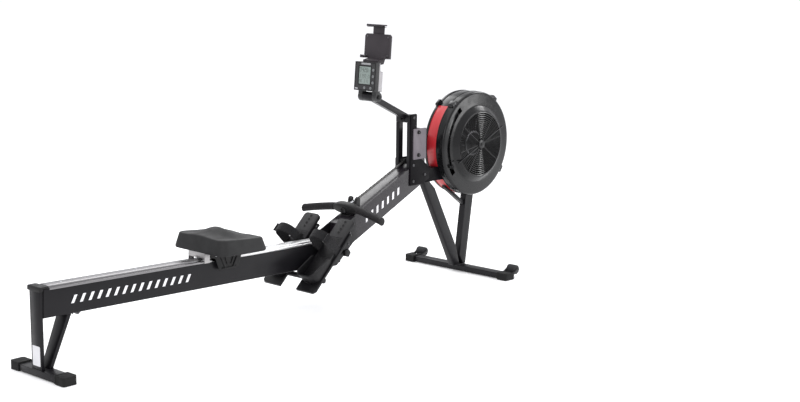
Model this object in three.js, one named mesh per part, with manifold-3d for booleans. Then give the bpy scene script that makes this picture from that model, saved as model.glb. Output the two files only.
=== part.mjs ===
// Air-resistance rowing machine: sloping rail with a rolling seat, inclined front tube with foot
// rests, mast with monitor arm, and a caged fan over a V-legged front foot.
// Millimetres. +X points from the rail towards the fan, +Y to the rower's left, +Z up.
import * as THREE from 'three';
import { mergeVertices } from 'three/addons/utils/BufferGeometryUtils.js';
import Module from 'manifold-3d';

const wasm = await Module();
wasm.setup();

// ---------------------------------------------------------------- driving dimensions
// Lengths along X are counted from the rear end of the rail; X_MID then centres the machine.
const X_MID = 1258.5;
const GAP = 0.3; // between pieces that touch

const RAIL = { length: 1438, start: 9.4, half: 32, depth: 102, wall: 3, top: 313, slope: 1.6 };
const TRACK = { half: 33, lip: 6, sheet: 0.8, skirt: 0.7, crown: 24, rise: 7, start: 24, short: 60 };
const POST = { x0: -6, x1: 6, half: 29, top: 304 };
const STRUT = { x: 42, z: 26, lean: 76 / 178, depth: 15.3, half: 24, flare: 1.28, head: 199, corner: 207 };
const REAR_FOOT = { x0: -8, x1: 44, half: 104, top: 28, clear: 4 };
const CAP = { length: 56, width: 54, height: 32 };

const TUBE = { half: 39, wall: 3, slope: 24.5, x0: 1452, x1: 1962, refX: 1584, refZ: 390, depth: 102 };
const SADDLE = { inner: 39.3, sheet: 5, rear: 1236, front: 1410, drop: 6 };
const MAST = { x0: 1860, x1: 1888, inner: 23, outer: 39, top: 749, bridge: 34, pin: 5, ear: 12 };
const SIDE_PLATE = { sheet: 5, head: 752 };
const FRONT_FOOT = { x: 2256, half: 246, width: 48, top: 28, clear: 4 };
const FRONT_CAP = { length: 64, width: 54, height: 32 };
const LEG = { width: 56, half: 16 };
const ROLLER = { x: 2312, z: 37, r: 21, y0: 246, y1: 292, axle: 4, tongue: 20 };
const REAR_LEG = { x: 2232, z: 34, lean: 0.54, top: 441 };
const FORE_LEG = { x: 2262, z: 34, lean: 0.15, top: 360 };
const BRACE = { x: 2193, z: 367, lean: 0.71, x0: 2140, x1: 2274, half: 9 };

const FAN = { x: 2293, z: 587, r: 234 };
const CAGE = { nearEdge: -22, farEdge: 35, farRim: 52, wall: 3, panel: 2.5 };
const GRILLE = { hub: 38, bar: 6, axle: 6, bearing: 20, spokes: 8, firstSpoke: 0.2 };

const GUIDE = { x: 1874, z: 562, r: 9, drop: 16, pin: 4, flange: 4 };
const HANDLE = {
  x: 1510, z: 388, half: 226, core: 20, grip: 16, straight: 50, back: 24, down: 26, curve: 1.3,
};
const HOOK = { x0: 1502, x1: 1566, inner: 13, outer: 25 };

const FOOT = { x: 1172, z: 109, angle: 44.5, length: 315, y0: 46, y1: 150, thick: 10 };

const PAD = { length: 240, half: 146, u: 821, rise: 38, crown: 60, taper: 0.94, round: 0.2 };
const CARRIAGE = { half: 44, sheet: 3, rear: 708, front: 934, z0: 34.5 };
const CROSS = { u0: 702, u1: 728, half: 47, sheet: 3, low: -4, step: 14, top: 34.2 };
const WHEEL_U = [742, 878];
const ARM = { x0: 1874, z0: 738, x1: 1650, z1: 841, r: 20, half: 13, barrel: 28, pin: 5 };
const CONSOLE = { x: 1613, depth: 43, half: 59, z0: 865, z1: 984, lean: 4.5, step: 945, ear: 22 };
const PHONE = { x: 1680, half: 71, z0: 1000, z1: 1102, tongue: 31, sheet: 4, reach: 30 };

const rad = THREE.MathUtils.degToRad;
const railTan = Math.tan(rad(RAIL.slope));
const tubeTan = Math.tan(rad(TUBE.slope));
const railTop = (x) => RAIL.top - x * railTan;
const railBottom = (x) => railTop(x) - RAIL.depth / Math.cos(rad(RAIL.slope));
const tubeTop = (x) => TUBE.refZ + (x - TUBE.refX) * tubeTan;
const tubeBottom = (x) => tubeTop(x) - TUBE.depth / Math.cos(rad(TUBE.slope));

// ---------------------------------------------------------------- materials
const finish = (color, roughness, metalness = 0) =>
  new THREE.MeshStandardMaterial({ color, roughness, metalness });
const paint = finish(0x232226, 0.45, 0.2);
const plastic = finish(0x1d1d1f, 0.55);
const rubber = finish(0x19191a, 0.85);
const redPlastic = finish(0xc4262b, 0.45);
const greyPaint = finish(0x8a8289, 0.45, 0.3);
const steel = finish(0xb9b9ba, 0.3, 1);
const nickel = finish(0x8d8f92, 0.3, 1);
const seatFoam = finish(0x3c3d40, 0.7);
const webbing = finish(0x141415, 0.9);
const screen = finish(0x97a39d, 0.2);
const keys = finish(0xaeb0b2, 0.5);

// ---------------------------------------------------------------- solids and booleans
const toManifold = (geometry) => {
  const bare = geometry.clone();
  for (const name of Object.keys(bare.attributes)) if (name !== 'position') bare.deleteAttribute(name);
  const merged = mergeVertices(bare, 1e-4);
  return new wasm.Manifold(
    new wasm.Mesh({
      numProp: 3,
      vertProperties: merged.attributes.position.array,
      triVerts: merged.index.array,
    }),
  );
};
const toGeometry = (manifold) => {
  const mesh = manifold.getMesh();
  const geometry = new THREE.BufferGeometry();
  geometry.setAttribute('position', new THREE.BufferAttribute(mesh.vertProperties, 3));
  geometry.setIndex(new THREE.BufferAttribute(mesh.triVerts, 1));
  return geometry;
};
const union = (...list) => toGeometry(list.map(toManifold).reduce((a, b) => a.add(b)));
const cut = (body, ...tools) => toGeometry(tools.map(toManifold).reduce(
  (a, b) => a.subtract(b), toManifold(body),
));

// ---------------------------------------------------------------- shape helpers
const box = (x0, x1, y0, y1, z0, z1) =>
  new THREE.BoxGeometry(x1 - x0, y1 - y0, z1 - z0).translate((x0 + x1) / 2, (y0 + y1) / 2, (z0 + z1) / 2);

// An outline in the XZ plane, carried along Y from y0 to y1.
const slab = (points, y0, y1) => {
  const isShape = points instanceof THREE.Shape;
  const shape = isShape ? points : new THREE.Shape(points.map(([x, z]) => new THREE.Vector2(x, z)));
  return new THREE.ExtrudeGeometry(shape, { depth: y1 - y0, bevelEnabled: false, curveSegments: 8 })
    .rotateX(Math.PI / 2)
    .translate(0, y1, 0);
};

// An outline in the XY plane, carried up from z0 to z1.
const plate = (shape, z0, z1) =>
  new THREE.ExtrudeGeometry(
    shape, { depth: z1 - z0, bevelEnabled: false, curveSegments: 6 },
  ).translate(0, 0, z0);

const roundedRect = (x0, x1, y0, y1, r) => {
  const shape = new THREE.Shape();
  shape.moveTo(x0 + r, y0).lineTo(x1 - r, y0).absarc(x1 - r, y0 + r, r, -Math.PI / 2, 0);
  shape.lineTo(x1, y1 - r).absarc(x1 - r, y1 - r, r, 0, Math.PI / 2);
  shape.lineTo(x0 + r, y1).absarc(x0 + r, y1 - r, r, Math.PI / 2, Math.PI);
  shape.lineTo(x0, y0 + r).absarc(x0 + r, y0 + r, r, Math.PI, 1.5 * Math.PI);
  return shape;
};

// A cylinder with its axis along Y.
const rod = (x, z, r, y0, y1, segments = 24) =>
  new THREE.CylinderGeometry(r, r, y1 - y0, segments).translate(x, (y0 + y1) / 2, z);

// A profile of [radius, y] points, turned about the line through (x, z) along Y.
const turned = (profile, x, z, segments) => {
  const points = profile.map(([r, y]) => new THREE.Vector2(r, y));
  const geometry = new THREE.LatheGeometry(points, segments);
  const solid = toManifold(geometry);
  if (solid.volume() < 0) {
    const index = geometry.index.array;
    for (let i = 0; i < index.length; i += 3) [index[i + 1], index[i + 2]] = [index[i + 2], index[i + 1]];
  }
  return geometry.translate(x, 0, z);
};

const mirrorY = (geometry) => {
  const copy = geometry.clone().scale(1, -1, 1);
  const index = copy.index ? copy.index.array : null;
  if (index) {
    for (let i = 0; i < index.length; i += 3) {
      [index[i + 1], index[i + 2]] = [index[i + 2], index[i + 1]];
    }
  } else {
    const p = copy.attributes.position;
    for (let i = 0; i < p.count; i += 3) {
      const [ax, ay, az] = [p.getX(i + 1), p.getY(i + 1), p.getZ(i + 1)];
      p.setXYZ(i + 1, p.getX(i + 2), p.getY(i + 2), p.getZ(i + 2));
      p.setXYZ(i + 2, ax, ay, az);
    }
  }
  return copy;
};

// Places geometry drawn along the rail (X along it, Z off its top face) or on a foot plate.
const onRail = (geometry) => geometry.rotateY(rad(RAIL.slope)).translate(0, 0, RAIL.top);
const onFoot = (geometry) => geometry.rotateY(-rad(FOOT.angle)).translate(FOOT.x, 0, FOOT.z);

const model = new THREE.Group();
const add = (name, geometry, material) => {
  const mesh = new THREE.Mesh(geometry, material);
  mesh.name = name;
  mesh.position.x = -X_MID;
  model.add(mesh);
};
const addPair = (name, geometry, material) => {
  add(`${name}_left`, geometry, material);
  add(`${name}_right`, mirrorY(geometry), material);
};

// ---------------------------------------------------------------- rail and rear leg
const railEnd = RAIL.start + RAIL.length;
add(
  'rail_beam',
  onRail(
    cut(
      box(RAIL.start, railEnd, -RAIL.half, RAIL.half, -RAIL.depth, 0),
      box(
        0, railEnd + 5, -RAIL.half + RAIL.wall, RAIL.half - RAIL.wall, -RAIL.depth + RAIL.wall,
        -RAIL.wall,
      ),
    ),
  ),
  paint,
);

const trackSection = [
  [-TRACK.half, -TRACK.lip], [-TRACK.half, GAP + TRACK.sheet], [-TRACK.crown, GAP + TRACK.sheet],
  [-TRACK.crown, TRACK.rise], [TRACK.crown, TRACK.rise], [TRACK.crown, GAP + TRACK.sheet],
  [TRACK.half, GAP + TRACK.sheet], [TRACK.half, -TRACK.lip], [TRACK.half - TRACK.skirt, -TRACK.lip],
  [TRACK.half - TRACK.skirt, GAP], [-TRACK.half + TRACK.skirt, GAP],
  [-TRACK.half + TRACK.skirt, -TRACK.lip],
];
add(
  'rail_track',
  onRail(
    new THREE.ExtrudeGeometry(new THREE.Shape(trackSection.map(([y, z]) => new THREE.Vector2(y, z))), {
      depth: RAIL.length - TRACK.short,
      bevelEnabled: false,
    })
      .rotateX(Math.PI / 2)
      .rotateZ(Math.PI / 2)
      .translate(RAIL.start + TRACK.start, 0, 0),
  ),
  steel,
);

add('rear_post', box(POST.x0, POST.x1, -POST.half, POST.half, REAR_FOOT.top + GAP, POST.top), paint);
add(
  'rear_end_cap',
  slab(
    [
      [-10, 304.3], [5.5, 304.3], [5.5, 313.9], [28, 313.2], [28, 319.5], [20, 321], [-6, 321],
      [-10, 317],
    ],
    -36, 36,
  ),
  plastic,
);

const strutFront = (z) => STRUT.x + (z - STRUT.z) * STRUT.lean;
const strutFoot = REAR_FOOT.top + GAP;
const strut = slab(
  [
    [strutFront(strutFoot) - STRUT.depth, strutFoot],
    [strutFront(strutFoot), strutFoot],
    [strutFront(STRUT.corner), railBottom(strutFront(STRUT.corner)) - GAP],
    [strutFront(STRUT.head) - STRUT.depth + 3, railBottom(strutFront(STRUT.head) - STRUT.depth + 3) - GAP],
  ],
  -STRUT.half,
  STRUT.half,
);
const strutPoints = strut.attributes.position;
for (let i = 0; i < strutPoints.count; i += 1) {
  if (strutPoints.getZ(i) > strutFoot + 1) strutPoints.setY(i, strutPoints.getY(i) * STRUT.flare);
}
add('rear_strut', strut, paint);
add(
  'rear_foot_bar',
  box(REAR_FOOT.x0, REAR_FOOT.x1, -REAR_FOOT.half, REAR_FOOT.half, REAR_FOOT.clear, REAR_FOOT.top),
  paint,
);

// A rubber cap closes one end of a foot bar: full height outside, thin tongue past the bar's end.
const footCap = (xc, half, size) =>
  plate(
    roundedRect(xc - size.length / 2, xc + size.length / 2, half + GAP, half + size.width, 9), 0,
    size.height,
  );
addPair('rear_foot_cap', footCap((REAR_FOOT.x0 + REAR_FOOT.x1) / 2, REAR_FOOT.half, CAP), rubber);

// ---------------------------------------------------------------- front tube and its saddle
const pastTube = TUBE.x1 + 9; // the hollow runs out through the front end
add(
  'front_tube',
  cut(
    slab(
      [
        [TUBE.x0, tubeBottom(TUBE.x0)], [TUBE.x1, tubeBottom(TUBE.x1)], [TUBE.x1, tubeTop(TUBE.x1)],
        [TUBE.x0, tubeTop(TUBE.x0)],
      ],
      -TUBE.half,
      TUBE.half,
    ),
    slab(
      [
        [TUBE.x0 + TUBE.wall, tubeBottom(TUBE.x0) + 2 * TUBE.wall],
        [pastTube, tubeBottom(pastTube) + TUBE.wall],
        [pastTube, tubeTop(pastTube) - TUBE.wall],
        [TUBE.x0 + TUBE.wall, tubeTop(TUBE.x0) - TUBE.wall],
      ],
      -TUBE.half + TUBE.wall,
      TUBE.half - TUBE.wall,
    ),
  ),
  paint,
);

const saddleLow = (x) => railBottom(x) - SADDLE.drop;
const saddleSide = [
  [SADDLE.rear, saddleLow(SADDLE.rear)], [SADDLE.front, saddleLow(SADDLE.front)], [1478, 222],
  [1532, tubeBottom(1532) + 14], [1520, tubeTop(1520) - 2], [1385, tubeTop(1385)], [1345, 262],
  [SADDLE.rear, railBottom(SADDLE.rear) + 16],
];
const saddleFloor = [
  [SADDLE.rear, saddleLow(SADDLE.rear)], [SADDLE.front, saddleLow(SADDLE.front)],
  [SADDLE.front, saddleLow(SADDLE.front) + SADDLE.sheet],
  [SADDLE.rear, saddleLow(SADDLE.rear) + SADDLE.sheet],
];
add(
  'rail_saddle',
  union(
    slab(saddleSide, SADDLE.inner, SADDLE.inner + SADDLE.sheet),
    slab(saddleSide, -SADDLE.inner - SADDLE.sheet, -SADDLE.inner),
    slab(saddleFloor, -SADDLE.inner - 1, SADDLE.inner + 1),
  ),
  paint,
);

// Star knob that locks the rail in the saddle.
const knobShape = new THREE.Shape();
const KNOB = { x: 1452, z: 214, r: 17, lobes: 5, dip: 2.5, neck: 8, steps: 40, face: 22, back: 8 };
for (let i = 0; i < KNOB.steps; i += 1) {
  const a = (i / KNOB.steps) * 2 * Math.PI;
  const r = KNOB.r - KNOB.dip * (1 - Math.cos(KNOB.lobes * a)) * 0.5;
  if (i === 0) knobShape.moveTo(r, 0);
  else knobShape.lineTo(r * Math.cos(a), r * Math.sin(a));
}
const saddleFace = SADDLE.inner + SADDLE.sheet;
add(
  'rail_lock_knob',
  union(
    slab(knobShape, -saddleFace - KNOB.face, -saddleFace - KNOB.back).translate(KNOB.x, 0, KNOB.z),
    rod(KNOB.x, KNOB.z, KNOB.neck, -saddleFace - KNOB.back - 1, -saddleFace - GAP, 16),
  ),
  plastic,
);

// ---------------------------------------------------------------- mast, side plates and cage mounts
const mastFoot = [[MAST.x0, tubeTop(MAST.x0) + GAP], [MAST.x1, tubeTop(MAST.x1) + GAP]];
const mastPost = slab(
  [...mastFoot, [MAST.x1, MAST.top - MAST.bridge - GAP], [MAST.x0, MAST.top - MAST.bridge - GAP]],
  MAST.inner,
  MAST.outer,
);
add('mast_right', mirrorY(mastPost), paint);
add(
  'mast_left',
  union(
    mastPost,
    rod(GUIDE.x, GUIDE.z - GUIDE.drop, GUIDE.pin, -MAST.inner + GAP, MAST.inner + 1, 16),
  ),
  paint,
);
add(
  'mast_bridge',
  union(
    box(MAST.x0, MAST.x1, -MAST.outer, MAST.outer, MAST.top - MAST.bridge, MAST.top - 26),
    box(MAST.x0, MAST.x1, -MAST.outer, -MAST.ear - GAP, MAST.top - 27, MAST.top),
    box(MAST.x0, MAST.x1, MAST.ear + GAP, MAST.outer, MAST.top - 27, MAST.top),
    rod(ARM.x0, ARM.z0, MAST.pin, -MAST.ear - 1, MAST.ear + 1, 12),
  ),
  paint,
);

const sidePlate = (head) => [
  [1862, 442], [1944, 442], [1988, 462], [1988, 512], [1932, 556], [1902, 575], [1902, head - 4],
  [1898, head], [1862, head],
];
const plateFace = MAST.outer + GAP + SIDE_PLATE.sheet;
add('side_plate_right', slab(sidePlate(SIDE_PLATE.head), -plateFace, -MAST.outer - GAP), paint);
add(
  'side_plate_left',
  slab(
    [[1862, 442], [1944, 442], [1988, 462], [1988, 512], [1932, 556], [1862, 556]],
    MAST.outer + GAP,
    plateFace,
  ),
  paint,
);

const cageClearance = turned([[0, -80], [FAN.r + 2, -80], [FAN.r + 2, 80], [0, 80]], FAN.x, FAN.z, 64);

// Z-shaped sheet bracket: bolted to the right side plate, crossing behind the mast to the cage's
// left rim.
const BRACKET = { y: -plateFace - GAP, sheet: 5, x0: 1875, web: 1953, end: 2062, z0: 555, z1: 688, far: 42 };
const BOLTS = { x: 1908, rows: [573, 672], r: 6.5, head: 5 };
const boltHeads = BOLTS.rows.map((z) =>
  rod(BOLTS.x, z, BOLTS.r, BRACKET.y - BRACKET.sheet - BOLTS.head, BRACKET.y - 1, 6),
);
add(
  'cage_mount_plate',
  cut(
    union(
      slab(
        roundedRect(BRACKET.x0, BRACKET.web + BRACKET.sheet, BRACKET.z0, BRACKET.z1, 5),
        BRACKET.y - BRACKET.sheet,
        BRACKET.y,
      ),
      box(
        BRACKET.web, BRACKET.web + BRACKET.sheet,
        BRACKET.y - 1, BRACKET.far,
        BRACKET.z0 + 12, BRACKET.z1 - 5,
      ),
      box(
        BRACKET.web, BRACKET.end,
        BRACKET.far - BRACKET.sheet, BRACKET.far,
        BRACKET.z0 + 12, BRACKET.z1 - 50,
      ),
      ...boltHeads,
    ),
    box(BRACKET.web - 9, BRACKET.web + 9, -15, 15, 572, 632),
    cageClearance,
  ),
  greyPaint,
);

// Centre lines of the legs, and half their width along X.
const rearLegX = (z) => REAR_LEG.x - (z - REAR_LEG.z) * REAR_LEG.lean;
const rearLegHalf = LEG.width / 2 / Math.cos(Math.atan(REAR_LEG.lean));
const foreLegX = (z) => FORE_LEG.x + (z - FORE_LEG.z) * FORE_LEG.lean;
const foreLegHalf = LEG.width / 2 / Math.cos(Math.atan(FORE_LEG.lean));

// Block that carries the cage's lower rear on the end of the tube.
const BLOCK = { x0: 1968, x1: 2112, y0: -24, y1: 33, top: 500 };
add(
  'cage_lower_block',
  cut(
    box(BLOCK.x0, BLOCK.x1, BLOCK.y0, BLOCK.y1, REAR_LEG.top + GAP, BLOCK.top),
    cageClearance,
  ),
  paint,
);

// ---------------------------------------------------------------- front legs and foot
const legFoot = FRONT_FOOT.top + GAP;
add(
  'leg_rear',
  slab(
    [
      [rearLegX(legFoot) - rearLegHalf, legFoot], [rearLegX(legFoot) + rearLegHalf - 22, legFoot],
      [rearLegX(115) + rearLegHalf, 115], [rearLegX(405) + rearLegHalf, 405],
      [rearLegX(445) + 14, REAR_LEG.top], [rearLegX(REAR_LEG.top) - rearLegHalf + 2, REAR_LEG.top],
    ],
    -LEG.half,
    LEG.half,
  ),
  paint,
);
const clearOfLeg = LEG.half + 14; // half width of the cutters that trim one member to another
add(
  'leg_front',
  cut(
    slab(
      [
        [foreLegX(legFoot) - foreLegHalf + 4, legFoot], [foreLegX(legFoot) + foreLegHalf, legFoot],
        [foreLegX(FORE_LEG.top) + foreLegHalf, FORE_LEG.top],
        [foreLegX(FORE_LEG.top) - foreLegHalf, FORE_LEG.top],
      ],
      -LEG.half,
      LEG.half,
    ),
    cageClearance,
    slab(
      [
        [rearLegX(20) - 80, 20], [rearLegX(20) + rearLegHalf + GAP, 20],
        [rearLegX(130) + rearLegHalf + GAP, 130], [rearLegX(130) - 80, 130],
      ],
      -clearOfLeg,
      clearOfLeg,
    ),
  ),
  paint,
);
const braceZ = (x) => BRACE.z - (x - BRACE.x) * BRACE.lean;
add(
  'under_brace',
  cut(
    slab(
      [
        [BRACE.x0, braceZ(BRACE.x0) - BRACE.half], [BRACE.x1, braceZ(BRACE.x1) - BRACE.half],
        [BRACE.x1, braceZ(BRACE.x1) + BRACE.half], [BRACE.x0, braceZ(BRACE.x0) + BRACE.half],
      ],
      -BRACE.half,
      BRACE.half,
    ),
    slab(
      [
        [foreLegX(200) - foreLegHalf - GAP, 200], [foreLegX(200) + 90, 200],
        [foreLegX(400) + 90, 400], [foreLegX(400) - foreLegHalf - GAP, 400],
      ],
      -clearOfLeg,
      clearOfLeg,
    ),
    cageClearance,
  ),
  paint,
);

const forkPlate = [
  [FRONT_FOOT.x + 18, 14], [ROLLER.x, ROLLER.z - 9], [ROLLER.x + 9, ROLLER.z], [ROLLER.x, ROLLER.z + 9],
  [FRONT_FOOT.x + 18, FRONT_FOOT.top - 2],
];
const forkPair = [ROLLER.y0 - 5, ROLLER.y1 + 1].flatMap((y) => [
  slab(forkPlate, y, y + 4), slab(forkPlate, -y - 4, -y),
]);
const axle = rod(ROLLER.x, ROLLER.z, ROLLER.axle, ROLLER.y0 - 2, ROLLER.y1 + 2, 16);
const barHalf = FRONT_FOOT.half;
const tongue = box(
  FRONT_FOOT.x - ROLLER.tongue, FRONT_FOOT.x + ROLLER.tongue,
  -ROLLER.y1 - 5, ROLLER.y1 + 5,
  FRONT_FOOT.clear + 4, FRONT_FOOT.top - 4,
);
add(
  'front_foot_bar',
  union(
    box(
      FRONT_FOOT.x - FRONT_FOOT.width / 2, FRONT_FOOT.x + FRONT_FOOT.width / 2,
      -barHalf, barHalf,
      FRONT_FOOT.clear, FRONT_FOOT.top,
    ),
    tongue,
    ...forkPair,
    axle,
    mirrorY(axle),
  ),
  paint,
);
addPair(
  'front_foot_cap',
  cut(
    footCap(FRONT_FOOT.x, barHalf, FRONT_CAP),
    box(
      FRONT_FOOT.x - ROLLER.tongue - GAP, FRONT_FOOT.x + ROLLER.tongue + GAP,
      barHalf - 5, ROLLER.y1 + 5 + GAP,
      FRONT_FOOT.clear + 4 - GAP, FRONT_FOOT.top - 4 + GAP,
    ),
    box(FRONT_FOOT.x + 10, FRONT_FOOT.x + 60, ROLLER.y0 - 6, ROLLER.y1 + 6, 8, 60),
  ),
  rubber,
);
addPair(
  'transport_roller',
  cut(
    turned(
      [
        [0, ROLLER.y0], [ROLLER.r - 3, ROLLER.y0], [ROLLER.r, ROLLER.y0 + 3], [ROLLER.r, ROLLER.y1 - 3],
        [ROLLER.r - 3, ROLLER.y1], [0, ROLLER.y1],
      ],
      ROLLER.x,
      ROLLER.z,
      20,
    ),
    rod(ROLLER.x, ROLLER.z, ROLLER.axle + GAP, ROLLER.y0 - 5, ROLLER.y1 + 5, 16),
  ),
  rubber,
);

// ---------------------------------------------------------------- fan cage
// Part of a ring about the fan's axis, angles counted from +X towards +Z.
const arcBand = (from, to, r0, r1, y0, y1) => {
  const shape = new THREE.Shape();
  shape.absarc(0, 0, r1, rad(from), rad(to), false);
  shape.absarc(0, 0, r0, rad(to), rad(from), true);
  return new THREE.ExtrudeGeometry(
    shape, { depth: y1 - y0, bevelEnabled: false, curveSegments: Math.ceil((to - from) / 7.5) },
  )
    .rotateX(Math.PI / 2)
    .translate(FAN.x, y1, FAN.z);
};
const RIM_STEPS = 48;
const RING = { outer: 172, inner: 143 };
const DAMPER = { window0: 124, from: 130, knob: 207, window1: 216, r0: 190, r1: 212 };
// Cross-sections of the two covers as [radius, y].
const nearProfile = [
  [FAN.r, CAGE.nearEdge], [FAN.r, -53], [FAN.r - 2.5, -58], [FAN.r - 8, -60.5], [RING.outer, -66],
  [RING.outer - 5, -70], [RING.inner + 4, -86], [RING.inner, -86], [RING.inner, -82], [RING.inner + 2, -82],
  [RING.outer - 7, -67], [RING.outer - 3, -63], [FAN.r - 8, -57.5], [FAN.r - CAGE.wall, -52],
  [FAN.r - CAGE.wall, CAGE.nearEdge], [FAN.r, CAGE.nearEdge],
];
const farProfile = [
  [FAN.r, CAGE.farEdge], [FAN.r, 45], [FAN.r - 3, 50], [FAN.r - 8, CAGE.farRim],
  [RING.inner + 4, 58], [RING.inner, 58],
  [RING.inner, 54], [FAN.r - 9, 48.5], [FAN.r - CAGE.wall, 44],
  [FAN.r - CAGE.wall, CAGE.farEdge], [FAN.r, CAGE.farEdge],
];
const grille = (yFace, yBack, rings, segments) => {
  const parts = [];
  const [lo, hi] = [Math.min(yFace, yBack), Math.max(yFace, yBack)];
  for (let i = 0; i < rings; i += 1) {
    const r = GRILLE.hub + (i * (RING.inner - 52)) / (rings - 1);
    const section = [[r, lo], [r + GRILLE.bar, lo], [r + GRILLE.bar, hi], [r, hi], [r, lo]];
    parts.push(turned(section, FAN.x, FAN.z, segments));
  }
  const barHalfWidth = GRILLE.bar / 2;
  for (let i = 0; i < GRILLE.spokes; i += 1) {
    const spoke = box(16, RING.inner + 2, -barHalfWidth, barHalfWidth, lo + 0.5, hi - 0.5)
      .rotateX(Math.PI / 2);
    const turn = (i / GRILLE.spokes) * 2 * Math.PI + GRILLE.firstSpoke;
    parts.push(spoke.translate(0, lo + hi, 0).rotateY(turn).translate(FAN.x, 0, FAN.z));
  }
  return parts;
};
const bearing = (lo, hi) => rod(FAN.x, FAN.z, GRILLE.bearing, lo, hi, 20);
const axleHole = rod(FAN.x, FAN.z, GRILLE.axle + GAP, -120, 120, 16);
const lug = (angle, y0, y1) =>
  box(FAN.r - 8, FAN.r + 7, y0, y1, -9, 9).rotateY(-rad(angle)).translate(FAN.x, 0, FAN.z);
const nearLugs = [55, 128, 325].map((a) => lug(a, -50, CAGE.nearEdge));
add(
  'cage_shell_right',
  cut(
    union(
      turned(nearProfile, FAN.x, FAN.z, RIM_STEPS), ...grille(-87, -83, 5, 24), bearing(-93, -76),
      ...nearLugs,
    ),
    axleHole,
    arcBand(DAMPER.window0, DAMPER.window1, DAMPER.r0, DAMPER.r1, -80, -57),
    turned(
      [[0, -53], [FAN.r - CAGE.wall - 1, -53], [FAN.r - CAGE.wall - 1, 0], [0, 0]], FAN.x, FAN.z,
      RIM_STEPS,
    ),
  ),
  plastic,
);
add(
  'cage_shell_left',
  cut(
    union(turned(farProfile, FAN.x, FAN.z, RIM_STEPS), ...grille(58, 54, 3, 24), bearing(48, 64)),
    axleHole,
  ),
  plastic,
);

// The rim between the shells: red panels with a gap for the mounting block, black elsewhere.
const bandY = [CAGE.nearEdge + GAP, CAGE.farEdge - GAP];
const bandOuter = FAN.r - 0.5;
const band = (from, to) => arcBand(from, to, bandOuter - CAGE.panel, bandOuter, ...bandY);
add('red_panel_rear', band(131, 206), redPlastic);
add('red_panel_lower', band(219, 260), redPlastic);
add('rim_panel_front', band(260.2, 360 + 130.8), plastic);

add('fan_axle', rod(FAN.x, FAN.z, GRILLE.axle, -92, 63, 16), nickel);
const blade = (i, count) =>
  box(52, 205, -1.5, 1.5, -22, 22)
    .rotateX(rad(78))
    .translate(0, -40, 0)
    .rotateY((i / count) * 2 * Math.PI)
    .translate(FAN.x, 0, FAN.z);
const BLADES = 10;
add(
  'fan_rotor',
  cut(
    union(
      turned([[0, -42], [212, -42], [212, -38], [0, -38]], FAN.x, FAN.z, 36).translate(0, 46, 0),
      rod(FAN.x, FAN.z, 56, -44, 8, 32),
      rod(FAN.x, FAN.z, 24, 7, 26, 32),
      ...Array.from({ length: BLADES }, (_, i) => blade(i, BLADES).translate(0, 22, 0)),
    ),
    axleHole,
  ),
  nickel,
);

// Air damper: an arc shutter inside the right cover, with a finger knob out through the cover's window.
add(
  'damper_lever',
  union(
    arcBand(DAMPER.from, DAMPER.knob + 1, DAMPER.r0 - 5, DAMPER.r1 + 5, -56.3, -54.3),
    box(DAMPER.r0 + 4, DAMPER.r1 - 4, -78, -55, -7, 7)
      .rotateY(-rad(DAMPER.knob - 2))
      .translate(FAN.x, 0, FAN.z),
  ),
  plastic,
);

// ---------------------------------------------------------------- chain guide, hook and handle
add(
  'chain_roller',
  cut(
    turned(
      [
        [0, -9], [GUIDE.r + GUIDE.flange, -9], [GUIDE.r + GUIDE.flange, -6.5], [GUIDE.r, -6.5],
        [GUIDE.r, 6.5], [GUIDE.r + GUIDE.flange, 6.5], [GUIDE.r + GUIDE.flange, 9], [0, 9],
      ],
      GUIDE.x, GUIDE.z - GUIDE.drop, 16,
    ),
    rod(GUIDE.x, GUIDE.z - GUIDE.drop, GUIDE.pin + GAP, -20, 20, 16),
  ),
  plastic,
);

const chainAngle = Math.atan2(GUIDE.z - HANDLE.z, GUIDE.x - HANDLE.x);
const chainLength = Math.hypot(GUIDE.z - HANDLE.z, GUIDE.x - HANDLE.x);
const onChain = (geometry) => geometry.rotateY(-chainAngle).translate(HANDLE.x, 0, HANDLE.z);
add(
  'pull_chain',
  onChain(
    union(
      box(51, chainLength + 84, -5, 5, -5, 5),
      box(25, 52, -7, 7, -6, 6),
      box(HANDLE.core + GAP, 26, -11, 11, -9, 9),
    ),
  ),
  nickel,
);

const barProfile = [
  [0, -HANDLE.half], [HANDLE.grip - 5, -HANDLE.half], [HANDLE.grip - 1, -HANDLE.half + 3],
  [HANDLE.grip, -HANDLE.half + 9], [HANDLE.grip, -120], [HANDLE.grip + 1, -80],
  [HANDLE.core, -HANDLE.straight], [HANDLE.core, 0],
];
const barSteps = [...barProfile, ...barProfile.slice(0, -1).reverse().map(([r, y]) => [r, -y])];
const handleBar = turned(barSteps, 0, 0, 16);
const bend = handleBar.attributes.position;
for (let i = 0; i < bend.count; i += 1) {
  const t = Math.max(0, (Math.abs(bend.getY(i)) - HANDLE.straight) / (HANDLE.half - HANDLE.straight));
  bend.setX(i, bend.getX(i) - HANDLE.back * t ** HANDLE.curve);
  bend.setZ(i, bend.getZ(i) - HANDLE.down * t ** HANDLE.curve);
}
add('handle_bar', handleBar.translate(HANDLE.x, 0, HANDLE.z), rubber);

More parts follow.
